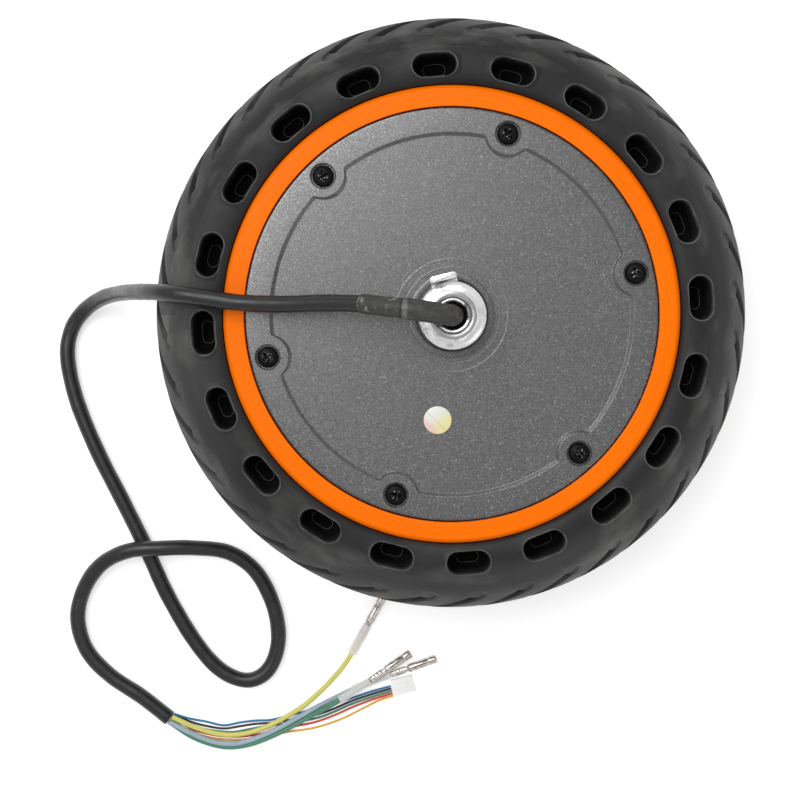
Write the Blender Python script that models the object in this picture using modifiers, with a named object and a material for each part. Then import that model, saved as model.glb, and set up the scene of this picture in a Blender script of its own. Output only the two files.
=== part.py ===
"""Hub motor wheel of an electric scooter, lying with its cable side up.

The origin is the wheel's centre on the axle's axis. +Z points along the axle to the cable
side, which is the front here. All sizes below are millimetres, and the helpers turn them
into metres. The wheel turns about Z round the fixed axle, and it stands on the rear nut.
"""

import math

import bmesh
import bpy
import numpy as np
from mathutils import Matrix, Vector

MM = 0.001
SEGMENTS = 32  # facets of the large rings
SMALL_SEGMENTS = 20  # facets of the parts round the axle
HOLE_SEGMENTS = 8

# Tyre and rim
TYRE_R = 108.0
TYRE_HALF_WIDTH = 24.0
TYRE_CHANNEL_R = 72.3
TYRE_LIP_R = 82.1
CHANNEL_HALF_WIDTH = 16.4
POCKETS = 20
POCKET_CIRCLE_R = 89.0
POCKET_LENGTH = 15.7
POCKET_WIDTH = 8.2
POCKET_DEPTH = 14.0
POCKET_ANGLE = 4.0

# Housing
COVER_R = 74.0
COVER_TOP = 21.5
RECESS_R = 64.6
RECESS_DEPTH = 0.8
HUB_HOLE_R = 15.3
SCREWS = 6
SCREW_CIRCLE_R = 67.6
SCREW_ANGLE = 12.8
SCREW_HEAD_R = 3.8
COUNTERBORE_R = 4.3
SCALLOP_R = 8.0
TRIM_R = 81.8

# Motor
POLES = 30
TEETH = 27
STATOR_R = 54.3
YOKE_R = 41.2
YOKE_INNER_R = 38.0
STATOR_HALF = 10.5
COIL_HALF = 13.6
TOOTH_HALF_WIDTH = 2.0
BUS_RADII = {"winding_u": 42.6, "winding_v": 44.6, "winding_w": 46.6}

# Axle
AXLE_END = 41.7
AXLE_R = 6.0
FLATS = 10.0
SEAT_R = 7.35
CENTRE_R = 10.0
CENTRE_HALF = 10.2
SPACER_END = 26.0
CABLE_BORE_R = 4.2
CABLE_BORE_END = 6.3
BEARING_MIDDLE = 15.0
BEARING_HALF = 4.5
BALLS = 9
BALL_R = 1.9
BALL_CIRCLE_R = 11.9
WASHER_BOTTOM = 31.0
WASHER_TOP = 33.0
WASHER_R = 11.8
TAB_ANGLE = 104.0
TAB_WIDTH = 9.4
TAB_TOP = 40.0
NUT_BOTTOM = 33.3
NUT_TOP = 43.2
NUT_FLATS = 17.0
NUT_FLANGE_R = 12.0
HEX_ANGLE = 50.0

# Cable and wires. Each route is a list of points that a smooth curve passes through.
CABLE_R = 3.0
CABLE_ROUTE = [
    (0, 0, 32), (0, 0, 37), (-0.1, 0, 41.5), (-1.8, 0.3, 46.3), (-5.6, 0.9, 50.2),
    (-11, 1.7, 52), (-17.7, 2.6, 51.5), (-24.5, 3.3, 49.2), (-32, 4.1, 45.5), (-45, 4.4, 39.3),
    (-60, 4, 33.6), (-75, 4.5, 29.6), (-86, 6, 28), (-94.5, 7.2, 27), (-101.5, 8, 24),
    (-108.5, 8.4, 16.8), (-117, 8.5, 1.5), (-125.5, 8, -16.5), (-134, 6.2, -30), (-142, 1.5, -38),
    (-147.4, -6, -40.1), (-149, -17, -40.1), (-145.5, -34, -40.1), (-137.5, -54, -40.1),
    (-128, -73, -40.1), (-119, -91.5, -40.1), (-110.5, -110.5, -40.1), (-99.5, -129.3, -40.1),
    (-89.5, -140.5, -40.1), (-79, -144.5, -40.1), (-70.8, -140.2, -40.1), (-66.8, -129, -40.1),
    (-68.6, -115, -40.1), (-75.5, -101.3, -39.9), (-86, -93.5, -38.6), (-99.5, -91.3, -35.8),
    (-113, -91.2, -33.7), (-125, -92.3, -34.3), (-136, -98, -37.5), (-143.3, -108, -39.8),
    (-146, -120, -40.1), (-142.5, -132.5, -40.1), (-133.5, -142.5, -40.1), (-121, -151, -40.1),
    (-109.9, -159.8, -40.1),
]
CABLE_FINE_LENGTH = 52.0  # the stretch with the sleeves, which has closer points
CABLE_FINE_STEP = 4.0
CABLE_STEP = 7.5
EXIT_SLEEVE = (4.0, 32.4, 3.8)  # start and end along the cable, and outer radius
WORN_SLEEVE = (32.7, 48.2, 3.5)

PHASE_R = 1.0
PHASE_ROUTES = {
    "yellow": [
        (-108.9, -159, -39.2), (-101.3, -162.8, -40.1), (-93.5, -165.6, -40.9), (-85.9, -166.6, -41.1),
        (-78.3, -165.6, -41.1), (-70.7, -162.9, -41.1), (-63.3, -159, -41.1), (-57, -154.9, -41.3),
        (-51.5, -150.3, -41.8), (-45.9, -144.7, -42), (-41.2, -139.1, -41.5), (-37.6, -133.4, -41.1),
        (-34.9, -128.6, -41.1),
    ],
    "blue": [
        (-110.2, -160.7, -39), (-101.1, -165.7, -39.9), (-92.8, -169, -40.2), (-85.2, -169.9, -40.2),
        (-77.6, -168.3, -40.2), (-68.4, -164.4, -40.2), (-60.8, -160.4, -40.5), (-53.2, -156.2, -41),
        (-45.6, -152.3, -41.4), (-38, -148.6, -41.5), (-30.5, -145.4, -41.5), (-22.6, -142.5, -41.5),
    ],
    "green": [
        (-110.6, -161.2, -41.2), (-102, -167.2, -41.9), (-93.7, -170.6, -42.1), (-86.3, -171.7, -41.9),
        (-78.3, -170.4, -41.3), (-70.3, -167.4, -41.1), (-62.3, -163.5, -41.1), (-55, -159.4, -41),
        (-49.3, -156.2, -39.8), (-43.8, -152.8, -38.3), (-37.5, -148.7, -37.8), (-30.6, -144.3, -38.2),
    ],
}
TERMINAL_TIPS = {
    "yellow": (-26, -112.6, -41.1),
    "blue": (-4.6, -136.1, -41.3),
    "green": (-15, -134, -41.3),
}
CLEAR_SLEEVES = {"yellow": (6.0, 7.0, 1.95), "blue": (16.0, 0.0, 1.6), "green": (14.0, 0.0, 1.6)}
TERMINAL_LENGTH = 19.0
FACE_GAP = 0.3

SENSOR_R = 0.45
SENSOR_ROUTES = {
    "blue": [
        (-108.2, -158.2, -40.9), (-102.6, -160.2, -42.1), (-95.8, -161.6, -42.7), (-88.9, -163.1, -42.7),
        (-82.1, -161.9, -42.7), (-76, -161.2, -42.7), (-70, -160.9, -42.7), (-62, -158.9, -42.7),
        (-54, -156.9, -42.7), (-46, -154.6, -42.7), (-38.1, -152.2, -42.7), (-30.2, -149.5, -42.6),
        (-22.4, -147, -41.2),
    ],
    "black": [
        (-108.6, -158.6, -41.9), (-101.6, -161.8, -42.6), (-94.5, -163.6, -42.7), (-88.5, -164.4, -42.7),
        (-82, -163.4, -42.7), (-76, -162.5, -42.7), (-70, -162.1, -42.7), (-61, -160.7, -42.7),
        (-52, -158.9, -42.7), (-45, -156.4, -42.7), (-38.1, -153.4, -42.7), (-30.1, -150.6, -42.6),
        (-22.2, -147.95, -41.2),
    ],
    "green": [
        (-108.9, -159, -40.8), (-101.8, -162.9, -42.3), (-94.5, -165, -42.7), (-86, -165.8, -42.7),
        (-79, -164.7, -42.7), (-72, -163.4, -42.7), (-62, -162.1, -42.7), (-51.5, -160.1, -42.7),
        (-44.6, -157.5, -42.7), (-38.1, -154.6, -42.7), (-30, -151.7, -42.6), (-21.9, -148.92, -41.2),
    ],
    "red": [
        (-109.1, -159.3, -42.3), (-102.3, -164.2, -42.6), (-97, -166.1, -42.7), (-90, -167.4, -42.7),
        (-82, -167.6, -42.7), (-74, -166.5, -42.7), (-64, -164.2, -42.7), (-52.5, -161.8, -42.7),
        (-44, -158.7, -42.7), (-38.1, -156, -42.7), (-30, -152.8, -42.6), (-21.7, -149.9, -41.2),
    ],
    "yellow": [
        (-109.7, -160.1, -42.3), (-102.8, -165.4, -42.7), (-97, -167.4, -42.7), (-90, -168.7, -42.7),
        (-82, -168.9, -42.7), (-74, -168, -42.7), (-64, -165.9, -42.7), (-52.5, -164, -42.7),
        (-42, -160.5, -42.7), (-32.6, -155.8, -42.7), (-26.5, -152.7, -42.2), (-21.4, -150.86, -41.2),
    ],
}
PLUG_SIZE = (8.8, 6.4, 3.8)
PLUG_CENTRE = (-17.4, -146.6, -41.2)
PLUG_ANGLE = 14.8


# ---------------------------------------------------------------- helpers


def clear_scene():
    for obj in list(bpy.data.objects):
        bpy.data.objects.remove(obj, do_unlink=True)


def new_collection(name):
    collection = bpy.data.collections.new(name)
    bpy.context.scene.collection.children.link(collection)
    return collection


def empty(name):
    pivot = bpy.data.objects.new(name, None)
    parts.objects.link(pivot)
    return pivot


def material(name, color, roughness, metallic=0.0):
    mat = bpy.data.materials.new(name)
    mat.use_nodes = True
    shader = mat.node_tree.nodes["Principled BSDF"]
    shader.inputs["Base Color"].default_value = (*color, 1.0)
    shader.inputs["Roughness"].default_value = roughness
    shader.inputs["Metallic"].default_value = metallic
    return mat


def place(name, mesh, mat, pivot):
    """Adds the part's object, with its material, under the pivot it turns with."""
    if not mesh.materials:
        mesh.materials.append(mat)
    obj = bpy.data.objects.new(name, mesh)
    parts.objects.link(obj)
    obj.parent = pivot
    return obj


def turned_mesh(name, profile, closed=True):
    """A profile of (radius, height) points in millimetres, down the outer side first."""
    mesh = bpy.data.meshes.new(name)
    points = [(radius * MM, 0.0, height * MM) for radius, height in profile]
    edges = [(i, i + 1) for i in range(len(points) - 1)]
    if closed:
        edges.append((len(points) - 1, 0))
    mesh.from_pydata(points, edges, [])
    return mesh


def add_screw(obj, segments):
    screw = obj.modifiers.new("Turn", "SCREW")
    screw.steps = segments
    screw.render_steps = segments
    screw.use_merge_vertices = True
    screw.merge_threshold = 1e-5


def turned(name, profile, mat, pivot, segments=SEGMENTS, closed=True):
    obj = place(name, turned_mesh(name, profile, closed), mat, pivot)
    add_screw(obj, segments)
    return obj


def cutter_object(name, mesh):
    obj = bpy.data.objects.new(name, mesh)
    cutters.objects.link(obj)
    obj.hide_render = True
    obj.display_type = "WIRE"
    return obj


def bmesh_object(name, build):
    """A cutter whose mesh the build function fills in, in millimetres."""
    mesh = bpy.data.meshes.new(name)
    bm = bmesh.new()
    build(bm)
    bmesh.ops.scale(bm, vec=(MM, MM, MM), verts=bm.verts)
    bm.to_mesh(mesh)
    bm.free()
    return cutter_object(name, mesh)


def add_cone(bm, segments, r_low, r_high, z_low, z_high, matrix):
    """A closed cone frustum or cylinder, and its vertices."""
    shift = Matrix.Translation((0, 0, (z_low + z_high) / 2))
    made = bmesh.ops.create_cone(
        bm,
        cap_ends=True,
        segments=segments,
        radius1=r_low,
        radius2=r_high,
        depth=z_high - z_low,
        matrix=matrix @ shift,
    )
    return made["verts"]


def add_box(bm, low, high, matrix):
    size = Matrix.Diagonal([b - a for a, b in zip(low, high)] + [1.0])
    middle = Matrix.Translation([(a + b) / 2 for a, b in zip(low, high)])
    bmesh.ops.create_cube(bm, size=1.0, matrix=matrix @ middle @ size)


def around(angle, radius=0.0):
    """The place at this angle, in degrees, and distance from the axis, facing outward."""
    return Matrix.Rotation(math.radians(angle), 4, "Z") @ Matrix.Translation((radius, 0, 0))


def boxes(name, low, high, angles, radius=0.0):
    def build(bm):
        for angle in angles:
            add_box(bm, low, high, around(angle, radius))

    return bmesh_object(name, build)


def cylinders(name, r, z_low, z_high, angles, radius=0.0, segments=HOLE_SEGMENTS):
    def build(bm):
        for angle in angles:
            add_cone(bm, segments, r, r, z_low, z_high, around(angle, radius))

    return bmesh_object(name, build)


def boolean(obj, other, operation="DIFFERENCE"):
    modifier = obj.modifiers.new(other.name, "BOOLEAN")
    modifier.operation = operation
    modifier.solver = "EXACT"
    modifier.object = other


def evaluated_mesh(obj, name):
    bpy.context.view_layer.update()
    graph = bpy.context.evaluated_depsgraph_get()
    return bpy.data.meshes.new_from_object(obj.evaluated_get(graph))


def bake(obj):
    """Applies the modifiers, so that the same mesh can serve both sides of the wheel."""
    mesh = evaluated_mesh(obj, obj.name)
    obj.modifiers.clear()
    obj.data = mesh


def on_both_sides(name, make, front_pivot, rear_pivot, line_angle=0.0):
    """Makes front_NAME, and rear_NAME as the same piece turned over about the line at this angle."""
    front = make("front_" + name, front_pivot)
    bake(front)
    rear = place("rear_" + name, front.data, None, rear_pivot)
    line = around(line_angle) @ Vector((1, 0, 0))
    rear.matrix_basis = Matrix.Rotation(math.pi, 4, line)


def arc(radius, start, end, count):
    """Points on an arc, with both ends."""
    angles = np.radians(np.linspace(start, end, count))
    return [(radius * math.cos(a), radius * math.sin(a)) for a in angles]


def ring(radius, count):
    return arc(radius, 0, 360, count + 1)[:-1]


def outline_solid(name, loops, z_low, z_high, mat, pivot):
    """An extruded flat outline as a mesh. The loops after the first are holes."""
    curve = bpy.data.curves.new(name, "CURVE")
    curve.dimensions = "2D"
    curve.fill_mode = "BOTH"
    curve.extrude = (z_high - z_low) / 2 * MM
    for loop in loops:
        spline = curve.splines.new("POLY")
        spline.points.add(len(loop) - 1)
        for point, (x, y) in zip(spline.points, loop):
            point.co = (x * MM, y * MM, 0, 1)
        spline.use_cyclic_u = True
    guide = bpy.data.objects.new(name + "_outline", curve)
    parts.objects.link(guide)
    mesh = evaluated_mesh(guide, name)
    bpy.data.objects.remove(guide)
    bm = bmesh.new()
    bm.from_mesh(mesh)
    bmesh.ops.remove_doubles(bm, verts=bm.verts, dist=1e-6)
    bmesh.ops.translate(bm, verts=bm.verts, vec=(0, 0, (z_low + z_high) / 2 * MM))
    bmesh.ops.recalc_face_normals(bm, faces=bm.faces)
    bm.to_mesh(mesh)
    bm.free()
    return place(name, mesh, mat, pivot)


def smooth_curve(route, per_interval=20):
    """A dense Catmull-Rom curve through the route's points."""
    points = np.array(route, float)
    first = 2 * points[0] - points[1]
    last = 2 * points[-1] - points[-2]
    points = np.vstack([first, points, last])
    dense = []
    for i in range(1, len(points) - 2):
        a, b, c, d = points[i - 1 : i + 3]
        for t in np.arange(per_interval) / per_interval:
            dense.append(
                b
                + 0.5 * t * (c - a)
                + 0.5 * t**2 * (2 * a - 5 * b + 4 * c - d)
                + 0.5 * t**3 * (3 * b - a - 3 * c + d)
            )
    dense.append(points[-2])
    return np.array(dense)


def lengths_along(dense):
    steps = np.linalg.norm(np.diff(dense, axis=0), axis=1)
    return np.concatenate([[0.0], np.cumsum(steps)])


def at_lengths(dense, stations):
    along = lengths_along(dense)
    return np.array([np.interp(stations, along, dense[:, axis]) for axis in range(3)]).T


def evenly(start, end, step):
    """Stations from start to end, about a step apart."""
    return np.linspace(start, end, max(2, round((end - start) / step) + 1))


def tube_curve(name, points, radius, capped):
    curve = bpy.data.curves.new(name, "CURVE")
    curve.dimensions = "3D"
    curve.bevel_depth = radius * MM
    curve.bevel_resolution = 2
    curve.use_fill_caps = capped
    spline = curve.splines.new("POLY")
    spline.points.add(len(points) - 1)
    for point, place_mm in zip(spline.points, points):
        point.co = (*(float(c) * MM for c in place_mm), 1)
    return curve


def cord(name, points, radius, mat):
    curve = tube_curve(name, points, radius, True)
    curve.materials.append(mat)
    obj = bpy.data.objects.new(name, curve)
    parts.objects.link(obj)
    obj.parent = axle_pivot
    return obj


def sleeve(name, points, outer_r, wall, mat):
    """A tube with an open bore along the points."""
    guide = bpy.data.objects.new(name + "_guide", tube_curve(name, points, outer_r, False))
    parts.objects.link(guide)
    mesh = evaluated_mesh(guide, name)
    bpy.data.objects.remove(guide)
    mesh.name = name
    obj = place(name, mesh, mat, axle_pivot)
    solid = obj.modifiers.new("Wall", "SOLIDIFY")
    solid.thickness = wall * MM
    solid.offset = -1.0
    solid.use_even_offset = True
    return obj


# ---------------------------------------------------------------- tyre and housing


def stadium(bm, length, width, z_low, z_high, taper, matrix):
    """A round-ended slot cutter, long along Y, wider at the top by the taper."""
    ends = 8
    shift = (length - width) / 2
    half_step = Matrix.Rotation(math.pi / ends, 4, "Z")
    verts = add_cone(bm, ends, width / 2 * taper, width / 2, z_low, z_high, half_step)
    for vert in verts:
        vert.co.y += math.copysign(shift, vert.co.y)
        vert.co = matrix @ vert.co


def make_tyre():
    top = [
        (TYRE_LIP_R, 22.9), (86, TYRE_HALF_WIDTH), (93, 23.7), (98.5, 21.3), (103.6, 15.7), (107.3, 8),
    ]
    crown = [(TYRE_R, 0.0)]
    below = [(r, -z) for r, z in reversed(top)]
    channel = [
        (TYRE_LIP_R, -CHANNEL_HALF_WIDTH),
        (TYRE_CHANNEL_R, -CHANNEL_HALF_WIDTH),
        (TYRE_CHANNEL_R, CHANNEL_HALF_WIDTH),
        (TYRE_LIP_R, CHANNEL_HALF_WIDTH),
    ]
    tyre = turned("tyre", top + crown + below + channel, rubber, wheel)

    def build(bm):
        floor = TYRE_HALF_WIDTH - POCKET_DEPTH
        for side in (0, math.pi):
            turn = Matrix.Rotation(side, 4, "X")
            for k in range(POCKETS):
                at = around(POCKET_ANGLE + k * 360 / POCKETS, POCKET_CIRCLE_R)
                stadium(bm, POCKET_LENGTH, POCKET_WIDTH, floor, 30, 0.86, turn @ at)

    boolean(tyre, bmesh_object("tyre_pockets", build))


def screw_angles():
    return [SCREW_ANGLE + k * 360 / SCREWS for k in range(SCREWS)]


def make_housing():
    shell_profile = [
        (81, 20.5), (81, 16.7), (72, 16.7), (72, -16.7), (81, -16.7), (81, -20.5), (74, -20.5),
        (COVER_R, -21.1), (73.6, -COVER_TOP), (RECESS_R, -COVER_TOP), (RECESS_R, RECESS_DEPTH - COVER_TOP),
        (HUB_HOLE_R, RECESS_DEPTH - COVER_TOP), (HUB_HOLE_R, -19.8), (16.3, -19.8), (16.3, -10.5),
        (20, -10.5), (20, -17.5), (56, -17.5), (59.5, -12.8), (62.3, -12.8), (62.3, 16.4), (74.3, 16.4),
        (74.3, 20.5),
    ]
    shell = turned("hub_shell", shell_profile, grey_paint, wheel)
    boolean(shell, cylinders("shell_screw_holes", 1.8, 5, 18, screw_angles(), SCREW_CIRCLE_R))

    cover_profile = [
        (73.6, COVER_TOP), (COVER_R, 21.1), (COVER_R, 17.5), (62, 17.5), (62, 13), (59.5, 13), (56, 17.5),
        (20, 17.5), (20, 10.5), (16.3, 10.5), (16.3, 19.8), (HUB_HOLE_R, 19.8), (HUB_HOLE_R, COVER_TOP),
    ]
    cover = turned("front_cover", cover_profile, grey_paint, wheel)
    low = COVER_TOP - RECESS_DEPTH
    recess = cylinders("cover_recess", RECESS_R, low, 24, [0], segments=SEGMENTS)
    angles = screw_angles()
    boolean(recess, cylinders("screw_lands", SCALLOP_R, 20, 25, angles, SCREW_CIRCLE_R, 12))
    boolean(cover, recess)
    boolean(cover, cylinders("cover_screw_holes", 1.8, 16, 24, angles, SCREW_CIRCLE_R))
    boolean(cover, cylinders("cover_counterbores", COUNTERBORE_R, 18.9, 24, angles, SCREW_CIRCLE_R, 10))

    gasket_profile = [(73.7, 17.2), (73.7, 16.7), (62.6, 16.7), (62.6, 17.2)]
    gasket = turned("cover_gasket", gasket_profile, dark_rubber, wheel)
    boolean(gasket, cylinders("gasket_holes", 1.9, 16, 18, angles, SCREW_CIRCLE_R))


def make_trim_ring(name, pivot):
    profile = [(80.6, 22.5), (TRIM_R, 21.4), (TRIM_R, 20.8), (74.3, 20.8), (74.3, 22.2), (74.6, 22.5)]
    return turned(name, profile, orange_paint, pivot)


def make_screws():
    profile = [
        (0, 21.4), (2.8, 21.3), (SCREW_HEAD_R, 20.6), (SCREW_HEAD_R, 19.2), (1.5, 19.2), (1.5, 7), (0.9, 6),
        (0, 6),
    ]
    mesh = None
    for k, angle in enumerate(screw_angles(), 1):
        if mesh is None:
            screw = turned(f"cover_screw_{k}", profile, black_steel, wheel, HOLE_SEGMENTS, closed=False)
            bake(screw)
            mesh = screw.data
        else:
            screw = place(f"cover_screw_{k}", mesh, None, wheel)
        screw.matrix_basis = around(angle, SCREW_CIRCLE_R)
        screw.location *= MM


def make_label():
    label = outline_solid("inspection_label", [ring(5, 20)], 20.8, 21.0, pale_paper, wheel)
    label.location = (-5.0 * MM, -37.6 * MM, 0)


# ---------------------------------------------------------------- motor


def make_rotor():
    turned("flux_ring", [(62, 12.5), (62, -12.5), (58, -12.5), (58, 12.5)], steel, wheel, POLES)
    pitch = 360 / POLES
    inner = []
    for k in range(POLES):
        inner += arc(55.0, k * pitch - 5.2, k * pitch + 5.2, 2)
        inner += arc(56.2, k * pitch + 5.5, k * pitch + 6.5, 2)
    outline_solid("magnet_ring", [ring(57.7, POLES), inner], -12, 12, magnet_grey, wheel)


def make_stator():
    pitch = 360 / TEETH
    outline = []
    for k in range(TEETH):
        turn = around(k * pitch)
        side = [(YOKE_R, TOOTH_HALF_WIDTH), (51.5, TOOTH_HALF_WIDTH), (51.9, 5.1)]
        tooth = [(u, -v) for u, v in side] + arc(STATOR_R, -5.5, 5.5, 2) + side[::-1]
        tooth += arc(YOKE_R, pitch / 2, pitch / 2, 1)
        outline += [(turn @ Vector((x, y, 0)))[:2] for x, y in tooth]
    loops = [outline, ring(YOKE_INNER_R, SEGMENTS)]
    outline_solid("stator_core", loops, -STATOR_HALF, STATOR_HALF, lamination, axle_pivot)

    carrier_profile = [
        (37.7, 10.5), (37.7, -10.5), (34, -10.5), (34, -2.5), (16, -2.5), (16, -5.8), (10.3, -5.8),
        (10.3, 5.8), (16, 5.8), (16, 2.5), (34, 2.5), (34, 10.5),
    ]
    carrier = turned("stator_carrier", carrier_profile, cast_aluminium, axle_pivot, SMALL_SEGMENTS)
    boolean(carrier, boxes("carrier_keyway", (9, -2.3, -7), (12.3, 2.3, 7), [180]))
    holes = [30 + 60 * k for k in range(6)]
    boolean(carrier, cylinders("carrier_holes", 5.5, -4, 4, holes, 25))


def make_windings():
    pitch = 360 / TEETH
    holes_low = (35, -TOOTH_HALF_WIDTH - 0.3, -STATOR_HALF - 0.3)
    holes_high = (53, TOOTH_HALF_WIDTH + 0.3, STATOR_HALF + 0.3)
    for phase, (name, bus_r) in enumerate(BUS_RADII.items()):
        angles = [k * pitch for k in range(TEETH) if k // 3 % 3 == phase]
        bus = [(bus_r + 0.5, 15.8), (bus_r + 0.5, 14.6), (bus_r - 0.5, 14.6), (bus_r - 0.5, 15.8)]
        winding = turned(name, bus, copper, axle_pivot, TEETH)
        coils = boxes(name + "_coils", (41.6, -4.5, -COIL_HALF), (50.9, 4.5, COIL_HALF), angles)
        boolean(coils, boxes(name + "_bores", holes_low, holes_high, angles))
        posts = boxes(name + "_posts", (-0.35, -1, 12.4), (0.35, 1, 15.2), angles, bus_r)
        boolean(winding, posts, "UNION")
        boolean(winding, coils, "UNION")


def make_hall_sensors():
    board = arc(53.5, 0, 80, 9) + arc(47.9, 80, 0, 9)
    outline_solid("hall_board", [board], 14.4, 15.6, green_board, axle_pivot)
    pitch = 360 / TEETH
    for k, slot in enumerate((0.5, 2.5, 4.5), 1):
        turn = around(slot * pitch)
        corners = [(51.6, -1.5), (53.9, -1.5), (53.9, 1.5), (51.6, 1.5)]
        outline = [(turn @ Vector((x, y, 0)))[:2] for x, y in corners]
        outline_solid(f"hall_sensor_{k}", [outline], 10.9, 14.1, black_plastic, axle_pivot)


# ---------------------------------------------------------------- bearings and axle


def bearing_ring(outer_r, inner_r, mat):
    top = BEARING_MIDDLE + BEARING_HALF
    low = BEARING_MIDDLE - BEARING_HALF
    profile = [(outer_r, top), (outer_r, low), (inner_r, low), (inner_r, top)]

    def make(name, pivot):
        return turned(name, profile, mat, pivot, SMALL_SEGMENTS)

    return make


def make_balls(name, pivot):
    """The balls, joined by their cage."""
    half = 1.5
    top = BEARING_MIDDLE + half
    low = BEARING_MIDDLE - half
    inner = BALL_CIRCLE_R - 0.5
    outer = BALL_CIRCLE_R + 0.5
    cage = turned(name, [(outer, top), (outer, low), (inner, low), (inner, top)], steel, pivot, 2 * BALLS)

    def build(bm):
        for k in range(BALLS):
            at = around(k * 360 / BALLS, BALL_CIRCLE_R) @ Matrix.Translation((0, 0, BEARING_MIDDLE))
            bmesh.ops.create_uvsphere(bm, u_segments=6, v_segments=4, radius=BALL_R, matrix=at)

    boolean(cage, bmesh_object(name + "_spheres", build), "UNION")
    return cage


def make_seal(name, pivot):
    return turned(name, [(15, 20.8), (15, 19.8), (9.8, 19.8), (9.8, 20.8)], dark_rubber, pivot, SMALL_SEGMENTS)


def make_spacer(name, pivot):
    profile = [(11.8, SPACER_END), (11.8, 21.5), (9.4, 21.5), (9.4, 19.8), (7.65, 19.8), (7.65, SPACER_END)]
    return turned(name, profile, steel, pivot, SMALL_SEGMENTS)


def make_axle():
    outer = [
        (CABLE_BORE_R, AXLE_END), (5.4, AXLE_END), (AXLE_R, 41.1), (AXLE_R, SPACER_END),
        (SEAT_R, SPACER_END), (SEAT_R, CENTRE_HALF), (CENTRE_R, CENTRE_HALF), (CENTRE_R, -CENTRE_HALF),
        (SEAT_R, -CENTRE_HALF), (SEAT_R, -SPACER_END), (AXLE_R, -SPACER_END), (AXLE_R, -41.1),
        (5.4, -AXLE_END), (0, -AXLE_END),
    ]
    bore = [(0, CABLE_BORE_END), (CABLE_BORE_R, CABLE_BORE_END)]
    axle = turned("axle", bore + outer, steel, axle_pivot, SMALL_SEGMENTS, closed=False)

    def flats(bm):
        for z in (SPACER_END, -SPACER_END - 17):
            for side in (0, 180):
                at = around(TAB_ANGLE + 90 + side)
                add_box(bm, (FLATS / 2, -10, z), (12, 10, z + 17), at)

    boolean(axle, bmesh_object("axle_flats", flats))
    boolean(axle, boxes("lead_window", (2, -2.5, CABLE_BORE_END), (12, 2.5, 9.6), [0]))
    boolean(axle, boxes("axle_keyway", (7.7, -2.3, -6), (12, 2.3, 6), [180]))

    outline_solid("axle_key", [[(-12, -2), (-8, -2), (-8, 2), (-12, 2)]], -5.7, 5.7, steel, axle_pivot)


def make_tab_washer(name, pivot):
    """A lock washer: its hole fits the axle's flats, and its tab is bent up, along X here."""
    flat = FLATS / 2 + 0.3
    hole_r = AXLE_R + 0.3
    corner = math.degrees(math.asin(flat / hole_r))
    half = TAB_WIDTH / 2
    root = math.degrees(math.asin(half / WASHER_R))
    rim = arc(WASHER_R, root, 360 - root, 25) + [(14.8, -half), (14.8, half)]
    hole = arc(hole_r, -corner, corner, 6) + arc(hole_r, 180 - corner, 180 + corner, 6)
    washer = outline_solid(name, [rim, hole], WASHER_BOTTOM, WASHER_TOP, zinc, pivot)
    tab = boxes(name + "_tab", (12.6, -half, WASHER_BOTTOM + 0.5), (14.8, half, TAB_TOP), [0])
    boolean(washer, tab, "UNION")
    bake(washer)
    washer.data.transform(Matrix.Rotation(math.radians(TAB_ANGLE), 4, "Z"))
    return washer


def make_nut(name, pivot):
    profile = [
        (8.3, NUT_TOP), (9.9, 42.2), (9.9, 36), (11.2, 35.6), (NUT_FLANGE_R, 34.9), (NUT_FLANGE_R, NUT_BOTTOM),
        (6.3, NUT_BOTTOM), (6.3, 42.4), (6.9, NUT_TOP),
    ]
    nut = turned(name, profile, zinc, pivot, 24)
    corner_r = NUT_FLATS / 2 / math.cos(math.pi / 6)
    around_hex = cylinders(name + "_hex_cutter", 16, 35.8, 45, [0], segments=12)

    def hexagon(bm):
        add_cone(bm, 6, corner_r, corner_r, 34, 47, around(HEX_ANGLE))

    boolean(around_hex, bmesh_object(name + "_hexagon", hexagon))
    boolean(nut, around_hex)
    return nut


# ---------------------------------------------------------------- cable and wires


def make_cable():
    dense = smooth_curve(CABLE_ROUTE)
    total = lengths_along(dense)[-1]
    fine = evenly(0, CABLE_FINE_LENGTH, CABLE_FINE_STEP)
    stations = np.concatenate([fine, evenly(CABLE_FINE_LENGTH, total, CABLE_STEP)[1:]])
    cord("cable", at_lengths(dense, stations), CABLE_R, black_pvc)
    for name, (start, end, outer_r), wall in (
        ("exit_sleeve", EXIT_SLEEVE, 0.5),
        ("worn_sleeve", WORN_SLEEVE, 0.3),
    ):
        inside = [s for s in stations if start < s < end]
        points = at_lengths(dense, [start, *inside, end])
        sleeve(name, points, outer_r, wall, shrink_sleeve)

    leads = [
        (0, 0, 31.7), (0, 0, 22), (0, 0, 13), (0.8, 0, 10), (2.8, 0, 8.3), (6, 0, 8), (14, 0, 8),
        (22, 0, 8.1), (28, 0, 9.6), (33, 0, 12.6), (37, 0, 14.8), (41.3, 0, 15.3),
    ]
    cord("internal_leads", smooth_curve(leads, 2), 1.3, black_pvc)


def make_terminal(name, start, direction, mat):
    """A bullet terminal: crimp at its origin, then neck, then barrel with a socket."""
    length = TERMINAL_LENGTH
    profile = [
        (0, 11.5), (1.2, 11.5), (1.2, length), (1.75, length), (1.75, 7.4), (1.05, 6.9), (1.05, 6.5), (1.3, 6.3),
        (1.3, 0), (0, 0),
    ]
    terminal = turned(name, profile, mat, axle_pivot, HOLE_SEGMENTS, closed=False)
    terminal.rotation_euler = Vector(direction).to_track_quat("Z", "Y").to_euler()
    terminal.location = Vector(start) * MM


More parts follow.
